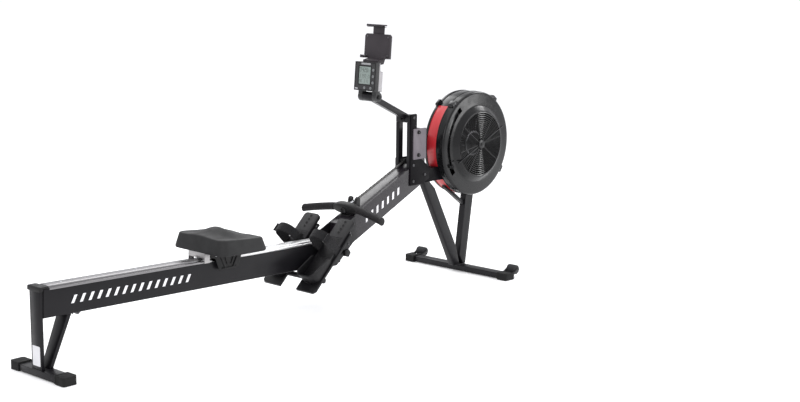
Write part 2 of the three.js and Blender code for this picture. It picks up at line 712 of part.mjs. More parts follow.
const hookProfile = [
  [HOOK.x0, tubeTop(HOOK.x0) + GAP], [HOOK.x1, tubeTop(HOOK.x1) + GAP], [1569, 425], [1557, 430],
  [1548, 424], [1541, tubeTop(1541) + 16], [1532, tubeTop(1532) + 7], [HOOK.x0, tubeTop(HOOK.x0) + 7],
];
add(
  'handle_hook',
  union(
    slab(hookProfile, HOOK.inner, HOOK.outer),
    slab(hookProfile, -HOOK.outer, -HOOK.inner),
    slab(
      [
        [HOOK.x0, tubeTop(HOOK.x0) + GAP], [HOOK.x1, tubeTop(HOOK.x1) + GAP],
        [HOOK.x1, tubeTop(HOOK.x1) + 5], [HOOK.x0, tubeTop(HOOK.x0) + 5],
      ],
      -HOOK.outer, HOOK.outer,
    ),
  ),
  plastic,
);

// ---------------------------------------------------------------- foot rests
const plateShape = new THREE.Shape();
plateShape.moveTo(0, FOOT.y0).lineTo(FOOT.length, FOOT.y0).lineTo(FOOT.length, FOOT.y1 - 22);
plateShape.lineTo(FOOT.length - 22, FOOT.y1).lineTo(12, FOOT.y1).lineTo(0, FOOT.y1 - 12);
const strapSlots = [FOOT.y0 + 5, FOOT.y1 - 9].map((y) => box(172, 234, y, y + 4, -20, 5));
addPair('foot_plate', onFoot(cut(plate(plateShape, -FOOT.thick, 0), ...strapSlots)), plastic);

const footMid = (FOOT.y0 + FOOT.y1) / 2;
const soleShape = new THREE.Shape();
const sole = { u0: 34, u1: 352, half: 42, corner: 16 };
const soleTip = sole.u1 - sole.corner;
const soleSide = sole.half - sole.corner;
soleShape.moveTo(sole.u0 + sole.half, footMid - sole.half).lineTo(soleTip, footMid - sole.half);
soleShape.absarc(soleTip, footMid - soleSide, sole.corner, -Math.PI / 2, 0);
soleShape.absarc(soleTip, footMid + soleSide, sole.corner, 0, Math.PI / 2);
soleShape.lineTo(sole.u0 + sole.half, footMid + sole.half);
soleShape.absarc(sole.u0 + sole.half, footMid, sole.half, Math.PI / 2, 1.5 * Math.PI);
const cup = { u0: 38, u1: 150, half: 46, corner: 26, wall: 5, high: 50, low: 28 };
const cupOuter = roundedRect(cup.u0, cup.u1 + 40, footMid - cup.half, footMid + cup.half, cup.corner);
const cupInner = roundedRect(
  cup.u0 + cup.wall,
  cup.u1 + 40,
  footMid - cup.half + cup.wall,
  footMid + cup.half - cup.wall,
  cup.corner - cup.wall,
);
const cupTrim = slab(
  [[0, cup.high + 4], [60, cup.high], [cup.u1, cup.low], [cup.u1, 0], [300, 0], [300, 140], [0, 140]],
  0,
  200,
);
addPair(
  'heel_cup',
  onFoot(
    union(
      plate(soleShape, GAP, 14),
      cut(
        plate(cupOuter, 1, cup.high + 9), plate(cupInner, 0, 140), box(cup.u1, 300, 0, 200, -5, 140),
        cupTrim,
      ),
    ),
  ),
  plastic,
);

// Toe strap: a flat band that stands as an arch over the foot, its ends in the plate's slots.
const strapArch = { y0: FOOT.y0 + 6, y1: FOOT.y1 - 6, top: 118, thick: 2.4, u0: 176, u1: 230 };
const archShape = new THREE.Shape();
const archR = (strapArch.y1 - strapArch.y0) / 2;
archShape.moveTo(strapArch.y1, -FOOT.thick).lineTo(strapArch.y1, strapArch.top - archR);
archShape.absarc(footMid, strapArch.top - archR, archR, 0, Math.PI);
archShape.lineTo(strapArch.y0, -FOOT.thick).lineTo(strapArch.y0 + strapArch.thick, -FOOT.thick);
archShape.absarc(footMid, strapArch.top - archR, archR - strapArch.thick, Math.PI, 0, true);
archShape.lineTo(strapArch.y1 - strapArch.thick, -FOOT.thick);
const strap = new THREE.ExtrudeGeometry(
  archShape, { depth: strapArch.u1 - strapArch.u0, bevelEnabled: false, curveSegments: 12 },
)
  .rotateX(Math.PI / 2)
  .rotateZ(Math.PI / 2)
  .translate(strapArch.u0, 0, 0);
addPair('toe_strap', onFoot(strap), webbing);

add('foot_crossbar', rod(1242, 145, 11, -138, 138, 20), paint);

// ---------------------------------------------------------------- seat and carriage
const WHEEL = { r: 12.5, half: 22, shaft: 4 };
const wheelV = TRACK.rise + GAP + WHEEL.r;
const wheelSection = [[0, -WHEEL.half], [WHEEL.r, -WHEEL.half], [WHEEL.r, WHEEL.half], [0, WHEEL.half]];
const carriageSide = [
  [732, CARRIAGE.z0], [CARRIAGE.front, CARRIAGE.z0], [CARRIAGE.front, 26], [880, 8], 
  [870, -32], [776, -32], [758, 8], [732, 12],
];
add(
  'seat_carriage',
  onRail(
    union(
      box(
        CARRIAGE.rear, CARRIAGE.front,
        -CARRIAGE.half, CARRIAGE.half,
        CARRIAGE.z0, CARRIAGE.z0 + CARRIAGE.sheet,
      ),
      slab(carriageSide, CARRIAGE.half - CARRIAGE.sheet, CARRIAGE.half),
      slab(carriageSide, -CARRIAGE.half, -CARRIAGE.half + CARRIAGE.sheet),
      ...WHEEL_U.map((u) => rod(u, wheelV, WHEEL.shaft, -CARRIAGE.half + 2, CARRIAGE.half - 2, 16)),
    ),
  ),
  paint,
);
add(
  'seat_cross_plate',
  onRail(
    union(
      box(CROSS.u0, CROSS.u1, -CROSS.half, CROSS.half, CROSS.step, CROSS.top),
      box(CROSS.u0, CROSS.u1, -CROSS.half, -CROSS.half + CROSS.sheet, CROSS.low, CROSS.step + 1),
      box(CROSS.u0, CROSS.u1, CROSS.half - CROSS.sheet, CROSS.half, CROSS.low, CROSS.step + 1),
    ),
  ),
  steel,
);
WHEEL_U.forEach((u, i) =>
  add(
    ['seat_roller_rear', 'seat_roller_front'][i],
    onRail(
      cut(
        turned(wheelSection, u, wheelV, 20),
        rod(u, wheelV, WHEEL.shaft + GAP, -50, 50, 16),
      ),
    ),
    rubber,
  ),
);

// Moulded seat: tapered sides, two hollows and a raised rear ridge, shaped over a grid.
const hump = (offset, width) => Math.exp(-((offset / width) ** 2));
const padTop = (s, t) => {
  const ridge = 26 * hump(s - 0.34, 0.2) * hump(t, 0.5);
  const slopeDown = -16 * Math.max(0, s - 0.35);
  const hollow = -9 * hump(s - 0.42, 0.22) * hump(Math.abs(t) - 0.55, 0.24);
  return PAD.crown + ridge + slopeDown + hollow;
};
const padGeometry = new THREE.BoxGeometry(1, 2, 1, 10, 16, 1);
const padPos = padGeometry.attributes.position;
for (let i = 0; i < padPos.count; i += 1) {
  const s = padPos.getX(i) + 0.5;
  const t = padPos.getY(i);
  const upper = padPos.getZ(i) > 0;
  const inset = upper ? PAD.taper : 1;
  padPos.setXYZ(
    i,
    PAD.u + (s - 0.5) * PAD.length * inset * Math.sqrt(1 - PAD.round * t * t),
    t * PAD.half * inset * Math.sqrt(1 - PAD.round * (2 * s - 1) ** 2),
    PAD.rise + (upper ? padTop(s, t) : 0),
  );
}
add('seat_pad', onRail(padGeometry), seatFoam);

// ---------------------------------------------------------------- monitor arm, console and phone holder
const armLength = Math.hypot(ARM.x1 - ARM.x0, ARM.z1 - ARM.z0);
const armLean = Math.atan2(ARM.z1 - ARM.z0, ARM.x0 - ARM.x1);
add(
  'monitor_arm',
  cut(
    union(
      box(-armLength, 0, -MAST.ear + 2, MAST.ear - 2, -ARM.half, ARM.half)
        .rotateY(armLean)
        .translate(ARM.x0, 0, ARM.z0),
      rod(ARM.x0, ARM.z0, ARM.half, -MAST.ear, MAST.ear, 20),
      rod(ARM.x1, ARM.z1, ARM.r, -ARM.barrel, ARM.barrel, 20),
      rod(ARM.x1, ARM.z1, ARM.pin, -52, 52, 12),
    ),
    rod(ARM.x0, ARM.z0, MAST.pin + GAP, -60, 60, 12),
  ),
  paint,
);

const C = CONSOLE;
const onConsole = (geometry) =>
  geometry.translate(-ARM.x1, 0, -ARM.z1).rotateY(rad(C.lean)).translate(ARM.x1, 0, ARM.z1);
const keyR = 6;
const keySpots = [
  ['key_units', -45, 952], ['key_display', -45, 926], ['key_menu', -45, 900],
  ['key_back', -35, 877], ['key_power', 0, 877],
];
const keyDisc = (r, thick, x, y, z) =>
  new THREE.CylinderGeometry(r, r, thick, 12).rotateZ(Math.PI / 2).translate(x, y, z);
const lensArea = { y0: -30, y1: 35, z0: 892, z1: 965, deep: 3 };
const caseSide = new THREE.Shape(
  [
    [C.x, C.z0], [C.x + C.depth, C.z0], [C.x + C.depth, C.step], [C.x + C.depth - 15, C.step + 6],
    [C.x + C.depth - 18, C.z1],
    [C.x, C.z1],
  ].map(([x, z]) => new THREE.Vector2(x, z)),
);
const ears = [-ARM.barrel - C.ear, ARM.barrel + GAP].map((y) =>
  union(
    rod(ARM.x1, ARM.z1, ARM.r, y, y + C.ear - GAP, 20),
    box(ARM.x1 - 18, ARM.x1 + 6, y, y + C.ear - GAP, ARM.z1, C.z0 + 2),
  ),
);
add(
  'console_case',
  onConsole(cut(
    union(slab(caseSide, -C.half, C.half), ...ears),
    rod(ARM.x1, ARM.z1, ARM.pin + GAP, -90, 90, 12),
    box(
      C.x - 5, C.x + lensArea.deep,
      lensArea.y0 - GAP, lensArea.y1 + GAP,
      lensArea.z0 - GAP, lensArea.z1 + GAP,
    ),
    ...keySpots.map(([, y, z]) => keyDisc(keyR + GAP, 12, C.x, y, z)),
  )),
  plastic,
);
add(
  'console_lens',
  onConsole(
    box(C.x + 0.6, C.x + lensArea.deep - GAP, lensArea.y0, lensArea.y1, lensArea.z0, lensArea.z1),
  ),
  screen,
);
keySpots.forEach(([name, y, z]) => add(name, onConsole(keyDisc(keyR, 6, C.x + 1, y, z)), keys));

const P = PHONE;
const chamfer = 8;
const holderOutline = new THREE.Shape(
  [
    [P.z0, -P.half], [P.z1 - chamfer, -P.half], [P.z1, -P.half + chamfer], [P.z1, P.half - chamfer],
    [P.z1 - chamfer, P.half], [P.z0, P.half],
  ].map(([z, y]) => new THREE.Vector2(z, y)),
);
const holderPlate = plate(holderOutline, -P.x - 8, -P.x + P.sheet).rotateY(-Math.PI / 2);
add(
  'phone_holder',
  onConsole(cut(
    union(
      holderPlate,
      slab(
        [
          [C.x + C.depth - 15, C.z1 - 12], [P.x - 3, P.z0 - 22], [P.x + 7, P.z0 + 2], [P.x - 6, P.z0 + 2],
          [C.x + C.depth - 17, C.z1 + 8],
        ],
        -42, 42,
      ),
      ...[-1, 1].map((side) => slab(
        [
          [P.x - P.reach, P.z0], [P.x, P.z0], [P.x, P.z0 + 5], [P.x - 26, P.z0 + 5],
          [P.x - 27, P.z0 + 12], [P.x - P.reach, P.z0 + 12],
        ],
        Math.min(side * 50, side * P.half), Math.max(side * 50, side * P.half),
      )),
    ),
    box(
      P.x - GAP, P.x + P.sheet + GAP,
      -P.tongue - GAP, P.tongue + GAP,
      P.z0 + 40, P.z1 + 5,
    ),
    slab(caseSide, -C.half, C.half).translate(GAP, 0, GAP),
  )),
  plastic,
);
add(
  'phone_clamp',
  onConsole(union(
    box(P.x, P.x + P.sheet, -P.tongue, P.tongue, P.z0 + 60, P.z1 + 36),
    slab(
      [
        [P.x - P.reach, P.z1 + 30], [P.x - 26, P.z1 + 30], [P.x - 25, P.z1 + 33],
        [P.x + P.sheet, P.z1 + 33], [P.x + P.sheet, P.z1 + 39], [P.x - P.reach, P.z1 + 39],
      ],
      -43, 43,
    ),
  )),
  plastic,
);

export default model;
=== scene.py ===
"""Looks of the air rowing machine round its CAD frame: materials, fine detail, studio and camera."""
from math import atan2, copysign, cos, exp, hypot, pi, radians, sin, tan

import bpy
import bmesh
from mathutils import Matrix, Vector


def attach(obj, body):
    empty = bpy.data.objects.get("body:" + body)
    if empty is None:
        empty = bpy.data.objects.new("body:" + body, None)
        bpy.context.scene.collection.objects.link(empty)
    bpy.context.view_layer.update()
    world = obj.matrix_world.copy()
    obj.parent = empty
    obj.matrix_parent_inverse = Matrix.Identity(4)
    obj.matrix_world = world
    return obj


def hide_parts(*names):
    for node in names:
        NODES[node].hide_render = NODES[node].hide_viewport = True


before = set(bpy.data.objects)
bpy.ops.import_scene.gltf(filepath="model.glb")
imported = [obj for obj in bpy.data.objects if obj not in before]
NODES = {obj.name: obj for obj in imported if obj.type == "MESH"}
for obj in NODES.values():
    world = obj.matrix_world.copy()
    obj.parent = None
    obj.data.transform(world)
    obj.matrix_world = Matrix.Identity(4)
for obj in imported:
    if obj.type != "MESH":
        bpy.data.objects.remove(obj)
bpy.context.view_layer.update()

# ---------------- measures, as in the CAD
MID = 1258.5  # the CAD counts X from the rail's rear end; the frame's origin is this far along
RAIL_TOP, RAIL_DEPTH, RAIL_SIDE, RAIL_SLOPE = 313.0, 102, 32, radians(1.6)
RAIL_NORMAL = (0.028, 0, 1)
TUBE_START, TUBE_SIDE, TUBE_SLOPE = 1452, 39, radians(24.5)
TUBE_KNOWN_X, TUBE_KNOWN_Z = 1584, 390  # a point on the front tube's top face
FOOT_X, FOOT_Z, FOOT_ANGLE = 1172.0, 109.0, radians(44.5)
FAN_X, FAN_Z, FAN_R = 2293.0, 587.0, 234.0
CASE_X, TILT_X, TILT_Z, CASE_LEAN = 1613, 1650, 841, radians(4.5)
HANDLE_X, HANDLE_Z = 1510.0, 388.0
GUIDE_X, GUIDE_Z = 1874, 546
SIDES = (("right", -1), ("left", 1))
SHARP = radians(34)  # edges sharper than this are kept, and bevelled where asked


def at(x, y, z):
    """Millimetres, X from the rail's rear end, to the frame's metres."""
    return Vector(((x - MID) / 1000, y / 1000, z / 1000))


def on_rail(u, y, v):
    c, s = cos(RAIL_SLOPE), sin(RAIL_SLOPE)
    return at(u * c + v * s, y, RAIL_TOP - u * s + v * c)


def on_foot(u, y, v):
    c, s = cos(FOOT_ANGLE), sin(FOOT_ANGLE)
    return at(FOOT_X + u * c - v * s, y, FOOT_Z + u * s + v * c)


def tube_top(x):
    return TUBE_KNOWN_Z + (x - TUBE_KNOWN_X) * tan(TUBE_SLOPE)


def on_tube(u, y, v):
    """u along the front tube from its start, v up from its top face."""
    c, s = cos(TUBE_SLOPE), sin(TUBE_SLOPE)
    return at(TUBE_START + u * c - v * s, y, tube_top(TUBE_START) + u * s + v * c)


def add_object(name, data):
    obj = bpy.data.objects.new(name, data)
    bpy.context.collection.objects.link(obj)
    return obj


# ---------------- camera
YAW, PITCH, ROLL = 0.8459, 0.1807, 0.0112
CAMERA_AT = (-3.8784, -3.9565, 1.4628)
LENS, SENSOR = 63.0, 36.0
forward = Vector((sin(YAW) * cos(PITCH), cos(YAW) * cos(PITCH), -sin(PITCH)))
level = Vector((cos(YAW), -sin(YAW), 0))
over = level.cross(forward)
right = cos(ROLL) * level + sin(ROLL) * over
up = -sin(ROLL) * level + cos(ROLL) * over
camera = add_object("camera", bpy.data.cameras.new("camera"))
camera.data.lens = LENS
camera.data.sensor_width = SENSOR
camera.data.clip_end = 100
camera.matrix_world = Matrix(
    [(right[i], up[i], -forward[i], CAMERA_AT[i]) for i in range(3)] + [(0, 0, 0, 1)]
)
bpy.context.scene.camera = camera


# ---------------- materials
def put(node, values):
    """Sets a node's inputs by name."""
    for key, value in values.items():
        node.inputs[key].default_value = value


class Look:
    """A procedural material: a Principled shader with noise-driven colour, roughness and bump."""

    def __init__(self, name, color, roughness, metallic=0.0, coords="Object", specular=0.5):
        self.material = bpy.data.materials.new(name)
        self.material.use_nodes = True
        self.tree = self.material.node_tree
        self.shader = self.tree.nodes["Principled BSDF"]
        put(self.shader, {"Base Color": (*color, 1), "Roughness": roughness})
        put(self.shader, {"Metallic": metallic, "Specular IOR Level": specular})
        self.color, self.roughness = color, roughness
        self.coords = self.node("ShaderNodeTexCoord").outputs[coords]
        self.heights = []
        self.material.diffuse_color = (*color, 1)

    def node(self, kind, **values):
        node = self.tree.nodes.new(kind)
        for key, value in values.items():
            setattr(node, key, value)
        return node

    def link(self, a, b):
        self.tree.links.new(a, b)

    def stretched(self, scale):
        mapping = self.node("ShaderNodeMapping")
        mapping.inputs["Scale"].default_value = scale
        self.link(self.coords, mapping.inputs["Vector"])
        return mapping.outputs["Vector"]

    def noise(self, scale, detail=3.0, stretch=None):
        node = self.node("ShaderNodeTexNoise")
        put(node, {"Scale": scale, "Detail": detail})
        self.link(self.stretched(stretch) if stretch else self.coords, node.inputs["Vector"])
        return node.outputs["Fac"]

    def cells(self, scale, feature="F1"):
        node = self.node("ShaderNodeTexVoronoi", feature=feature)
        node.inputs["Scale"].default_value = scale
        self.link(self.coords, node.inputs["Vector"])
        return node.outputs["Distance"]

    def ranged(self, value, low, high, from_low=0.3, from_high=0.7):
        node = self.node("ShaderNodeMapRange")
        put(node, {"From Min": from_low, "From Max": from_high, "To Min": low, "To Max": high})
        self.link(value, node.inputs["Value"])
        return node.outputs["Result"]

    def mottle(self, amount, scale=14.0, socket=None):
        """Colour wanders by this share of itself either way."""
        node = self.node("ShaderNodeMix", data_type="RGBA")
        node.inputs["A"].default_value = (*[c * (1 - amount) for c in self.color], 1)
        node.inputs["B"].default_value = (*[min(1, c * (1 + amount)) for c in self.color], 1)
        self.link(socket or self.ranged(self.noise(scale, 4), 0, 1), node.inputs["Factor"])
        self.link(node.outputs["Result"], self.shader.inputs["Base Color"])
        return self

    def smudge(self, amount, scale=30.0, stretch=None):
        """Roughness wanders by this much either way."""
        result = self.ranged(self.noise(scale, 5, stretch), self.roughness - amount, self.roughness + amount)
        self.link(result, self.shader.inputs["Roughness"])
        return self

    def bump(self, value, distance, strength=1.0):
        self.heights.append((value, distance, strength))
        return self

    def done(self):
        """Chains the bumps, and gives the material."""
        last = None
        for value, distance, strength in self.heights:
            node = self.node("ShaderNodeBump")
            put(node, {"Strength": strength, "Distance": distance})
            self.link(value, node.inputs["Height"])
            if last:
                self.link(last, node.inputs["Normal"])
            last = node.outputs["Normal"]
        if last:
            self.link(last, self.shader.inputs["Normal"])
        return self.material


def coat(look, weight, roughness=0.15):
    put(look.shader, {"Coat Weight": weight, "Coat Roughness": roughness})
    return look


def powder_coat(name, color, roughness=0.38, specular=0.26):
    look = Look(name, color, roughness, specular=specular)
    look.mottle(0.10, 9).smudge(0.06, 24)
    return look.bump(look.noise(1400, 2), 0.00012, 0.35).bump(look.noise(160, 2), 0.0001, 0.12).done()


def grained_plastic(name, color, roughness=0.5, grain=1500, depth=0.00014, strength=0.4, specular=0.24):
    look = Look(name, color, roughness, specular=specular)
    look.mottle(0.12, 20).smudge(0.07, 40)
    return look.bump(look.cells(grain), depth, strength).bump(look.noise(90, 3), 0.0002, 0.08).done()


paint = powder_coat("black_powder_coat", (0.007, 0.0065, 0.008), 0.36, 0.20)
paint_tube = powder_coat("front_powder_coat", (0.010, 0.008, 0.011), 0.28, 0.42)
# A darker, less glossy copy of the black powder coat: painted shade for the side plates and the cage's lower
# block.
shaded_plate_paint = powder_coat("plate_powder_coat_painted_shade", (0.0035, 0.003, 0.004), 0.44, 0.06)
grey_paint = powder_coat("grey_powder_coat", (0.112, 0.098, 0.112), 0.42)
plastic = grained_plastic("black_plastic", (0.006, 0.0058, 0.0062), 0.48)
cover_plastic = grained_plastic("cover_plastic", (0.006, 0.006, 0.0065), 0.22, 1100, 0.00008, 0.10, 0.26)
grille_plastic = grained_plastic("grille_plastic", (0.003, 0.003, 0.0034), 0.20, specular=0.5)
foot_plastic = grained_plastic("foot_plastic", (0.005, 0.0046, 0.0055), 0.44)
shell_silver = grained_plastic("console_silver", (0.36, 0.35, 0.36), 0.4)
bezel_plastic = grained_plastic("console_bezel", (0.030, 0.030, 0.031), 0.42)
holder_plastic = grained_plastic("holder_plastic", (0.030, 0.025, 0.029), 0.5)
key_plastic = grained_plastic("key_grey", (0.16, 0.165, 0.17), 0.5)
red_plastic = coat(Look("red_plastic", (0.44, 0.013, 0.020), 0.42), 0.2)
red_plastic.mottle(0.06, 12).smudge(0.05, 30)
red_plastic = red_plastic.bump(red_plastic.cells(1300), 0.0001, 0.25).done()


def rubber_look(name, color, roughness=0.72):
    look = Look(name, color, roughness, specular=0.2)
    look.mottle(0.15, 25).smudge(0.08, 60)
    return look.bump(look.noise(900, 4), 0.0002, 0.35).done()


rubber = rubber_look("black_rubber", (0.009, 0.009, 0.009))
grip_rubber = rubber_look("grip_rubber", (0.011, 0.010, 0.011), 0.55)
tyre_rubber = rubber_look("roller_rubber", (0.028, 0.028, 0.030))


def brushed(name, color, roughness, stretch):
    look = Look(name, color, roughness, metallic=1.0)
    look.mottle(0.10, 6).smudge(0.08, 3, stretch)
    return look.bump(look.noise(4, 3, stretch), 0.00008, 0.3).done()


ALONG_RAIL = (3, 300, 300)
dull_steel = brushed("plate_stainless", (0.36, 0.35, 0.35), 0.42, ALONG_RAIL)


def track_with_painted_reflection(node):
    """Track steel with a painted reflection: the base colour runs from dark grey at the rear end to near
    white towards the front.
    """
    xs = [v.co.x for v in node.data.vertices]
    look = Look("track_stainless", (0.40, 0.395, 0.40), 0.30, 1.0)
    split = look.node("ShaderNodeSeparateXYZ")
    look.link(look.coords, split.inputs[0])
    low, length = min(xs), max(xs) - min(xs)
    share = look.ranged(split.outputs["X"], 0, 1, low + 0.45 * length, low + 0.8 * length)
    # Painted reflection: dark grey at the rear end, bright towards the front.
    mix = look.node("ShaderNodeMix", data_type="RGBA")
    put(mix, {"A": (0.21, 0.205, 0.21, 1), "B": (0.82, 0.82, 0.82, 1)})
    look.link(share, mix.inputs["Factor"])
    look.link(mix.outputs["Result"], look.shader.inputs["Base Color"])
    look.smudge(0.06, 3, ALONG_RAIL)
    return look.bump(look.noise(4, 3, ALONG_RAIL), 0.00006, 0.25).done()


zinc = brushed("zinc_steel", (0.52, 0.53, 0.55), 0.32, (60, 60, 60))
dark_metal = brushed("dark_metal", (0.10, 0.10, 0.105), 0.35, (80, 80, 80))
chain_steel = brushed("chain_nickel", (0.11, 0.107, 0.105), 0.38, (90, 90, 90))

foam = Look("seat_foam", (0.017, 0.017, 0.0175), 0.60, specular=0.22)
foam.mottle(0.10, 16).smudge(0.06, 30)
foam = foam.bump(foam.cells(700, "SMOOTH_F1"), 0.0004, 0.35).bump(foam.noise(60, 3), 0.0006, 0.12).done()


def woven(name, color):
    """Webbing, woven in the piece's own UV metres."""
    look = Look(name, color, 0.8, coords="UV", specular=0.2)
    waves = []
    for direction, scale in (("X", 210), ("Y", 260)):
        wave = look.node("ShaderNodeTexWave", bands_direction=direction)
        put(wave, {"Scale": scale, "Distortion": 0.4})
        look.link(look.coords, wave.inputs["Vector"])
        waves.append(wave.outputs["Fac"])
    both = look.node("ShaderNodeMath", operation="MULTIPLY")
    look.link(waves[0], both.inputs[0])
    look.link(waves[1], both.inputs[1])
    look.mottle(0.35, socket=both.outputs[0])
    look.shader.inputs["Sheen Weight"].default_value = 0.08
    return look.bump(both.outputs[0], 0.0006, 0.7).done()


webbing = woven("strap_webbing", (0.009, 0.0085, 0.010))

lcd = coat(Look("lcd_glass", (0.205, 0.245, 0.228), 0.35, specular=0.35), 0.3, 0.08)
lcd.mottle(0.05, 20)
lcd = lcd.bump(lcd.noise(30, 2), 0.0001, 0.05).done()
segment = Look("lcd_segment", (0.045, 0.055, 0.05), 0.4).mottle(0.1, 40).done()
print_white = Look("print_white", (0.80, 0.79, 0.82), 0.45)
print_white.mottle(0.03, 40).smudge(0.05, 50)
print_white = print_white.bump(print_white.noise(1200, 2), 0.00008, 0.2).done()
label_grey = Look("label_grey", (0.26, 0.26, 0.27), 0.40).mottle(0.04, 30).smudge(0.05, 50).done()
label_white = Look("label_film", (0.60, 0.60, 0.62), 0.35).mottle(0.04, 30).smudge(0.05, 50).done()
# Black for the inside of the sole's holes: painted shade.
hole_shade_black = Look("hole_painted_shade", (0.003, 0.003, 0.003), 0.9).mottle(0.1, 40).smudge(0.05, 40).done()
fan_metal = brushed("fan_sheet", (0.008, 0.008, 0.0085), 0.5, (40, 40, 40))


# ---------------- shading of the CAD nodes
def smooth_group():
    """Geometry nodes: smooth shading, with the sharp edges kept."""
    group = bpy.data.node_groups.new("smooth_by_angle", "GeometryNodeTree")
    group.interface.new_socket("Geometry", in_out="INPUT", socket_type="NodeSocketGeometry")
    group.interface.new_socket("Geometry", in_out="OUTPUT", socket_type="NodeSocketGeometry")
    make = group.nodes.new
    start, end = make("NodeGroupInput"), make("NodeGroupOutput")
    faces, edges = make("GeometryNodeSetShadeSmooth"), make("GeometryNodeSetShadeSmooth")
    angle, compare = make("GeometryNodeInputMeshEdgeAngle"), make("FunctionNodeCompare")
    faces.domain, edges.domain = "FACE", "EDGE"
    faces.inputs["Shade Smooth"].default_value = True
    edges.inputs["Shade Smooth"].default_value = False
    compare.data_type, compare.operation = "FLOAT", "GREATER_THAN"
    compare.inputs[1].default_value = SHARP
    link = group.links.new
    link(start.outputs[0], faces.inputs["Geometry"])
    link(faces.outputs[0], edges.inputs["Geometry"])
    link(angle.outputs["Unsigned Angle"], compare.inputs[0])
    link(compare.outputs["Result"], edges.inputs["Selection"])
    link(edges.outputs[0], end.inputs[0])
    return group


SMOOTH = smooth_group()


def soften(obj, bevel, segments):
    """Bevels the sharp edges if a width is given, and shades the rest smooth."""
    if bevel:
        modifier = obj.modifiers.new("bevel", "BEVEL")
        modifier.width, modifier.segments = bevel, segments
        modifier.limit_method, modifier.angle_limit = "ANGLE", SHARP
    obj.modifiers.new("smooth", "NODES").node_group = SMOOTH


def dress(names, material, bevel=0.0, segments=2):
    """Gives CAD nodes their look; their faceted meshes are welded first."""
    for name in names.split():
        obj = NODES[name]
        obj.data.materials.clear()
        obj.data.materials.append(material)
        obj.modifiers.new("weld", "WELD").merge_threshold = 0.00002
        soften(obj, bevel, segments)


dress("rail_beam", paint, 0.005, 4)
dress("front_tube", paint_tube, 0.006, 4)
dress("rear_post rear_strut mast_right mast_left monitor_arm", paint, 0.002, 3)
dress("mast_bridge", paint, 0.0002)
dress("leg_rear leg_front", paint, 0.005, 3)
dress("rear_foot_bar front_foot_bar", paint, 0.003, 3)
dress("rail_saddle under_brace foot_crossbar", paint, 0.0012)
# Painted shade: these wear the darkened copy of the black powder coat.
dress("side_plate_right side_plate_left cage_lower_block", shaded_plate_paint, 0.0012)
dress("cage_mount_plate", grey_paint, 0.0012)
dress("rear_end_cap", plastic, 0.003, 3)
dress("rear_foot_cap_left rear_foot_cap_right front_foot_cap_left front_foot_cap_right", rubber, 0.004, 3)
dress("transport_roller_left transport_roller_right", tyre_rubber, 0.001)
dress("seat_roller_rear seat_roller_front", tyre_rubber, 0.001)
dress("rail_track", track_with_painted_reflection(NODES["rail_track"]), 0.0003)
dress("seat_carriage", paint, 0.0006)
dress("seat_cross_plate", dull_steel, 0.0006)
dress("rail_lock_knob", plastic, 0.0015)
dress("cage_shell_right cage_shell_left rim_panel_front damper_lever", cover_plastic, 0.0008)
dress("red_panel_rear red_panel_lower", red_plastic, 0.0008)
dress("fan_rotor fan_axle", dark_metal, 0.0005)
dress("chain_roller handle_hook", plastic, 0.0008)
dress("pull_chain", chain_steel)
dress("handle_bar", grip_rubber)
dress("foot_plate_left foot_plate_right heel_cup_left heel_cup_right", foot_plastic, 0.0015)
dress("toe_strap_left toe_strap_right", webbing)
dress("seat_pad", foam)
dress("console_case", bezel_plastic, 0.0015)
dress("console_lens", lcd, 0.0003)
dress("key_units key_display key_menu key_back key_power", key_plastic, 0.0008)
dress("phone_holder phone_clamp", holder_plastic, 0.001)


# ---------------- mesh helpers
def piece(name, shape, material, body, bevel=0.0, segments=2, uv=None):
    """An object from (vertices, faces), or from a list of them, riding on a body."""
    verts, faces = joined(*shape) if isinstance(shape, list) else shape
    mesh = bpy.data.meshes.new(name)
    mesh.from_pydata([tuple(v) for v in verts], [], faces)
    obj = add_object(name, mesh)
    if uv:
        layer = mesh.uv_layers.new(name="metres")
        for loop in mesh.loops:
            layer.data[loop.index].uv = uv[loop.vertex_index]
    work = bmesh.new()
    work.from_mesh(mesh)
    bmesh.ops.recalc_face_normals(work, faces=work.faces)
    work.to_mesh(mesh)
    work.free()
    mesh.materials.append(material)
    soften(obj, bevel, segments)
    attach(obj, body)
    return obj


def joined(*shapes):
    """One (vertices, faces) from several."""
    verts, faces = [], []
    for v, f in shapes:
        faces += [tuple(i + len(verts) for i in face) for face in f]
        verts += list(v)
    return verts, faces


def basis(axis):
    """The axis as a unit vector, and two more square to it."""
    axis = Vector(axis).normalized()
    side = axis.cross(Vector((0, 0, 1)) if abs(axis.z) < 0.9 else Vector((1, 0, 0))).normalized()
    return axis, side, axis.cross(side)


def spin(profile, origin, axis, segments=24, closed=False):
    """Turns [radius, height] points (mm) about the axis through origin (metres)."""
    axis, side, other = basis(axis)
    verts, rings = [], []
    for r, h in profile:
        base = Vector(origin) + axis * (h / 1000)
        if r <= 0:
            rings.append([len(verts)])
            verts.append(base)
            continue
        rings.append(list(range(len(verts), len(verts) + segments)))
        for k in range(segments):
            a = 2 * pi * k / segments
            verts.append(base + (side * cos(a) + other * sin(a)) * (r / 1000))
    faces = []
    pairs = list(zip(rings, rings[1:])) + ([(rings[-1], rings[0])] if closed else [])
    for a, b in pairs:
        for k in range(segments):
            n = (k + 1) % segments
            if len(a) == 1 and len(b) == 1:
                continue
            if len(a) == 1:
                faces.append((a[0], b[k], b[n]))
            elif len(b) == 1:
                faces.append((a[k], a[n], b[0]))
            else:
                faces.append((a[k], a[n], b[n], b[k]))
    return verts, faces


def block(lo, hi, place=at):
    """A box between two corners, in mm of the given place."""
    (x0, y0, z0), (x1, y1, z1) = lo, hi
    verts = [place(x, y, z) for x in (x0, x1) for y in (y0, y1) for z in (z0, z1)]
    return verts, [(0, 1, 3, 2), (4, 6, 7, 5), (0, 4, 5, 1), (2, 3, 7, 6), (0, 2, 6, 4), (1, 5, 7, 3)]


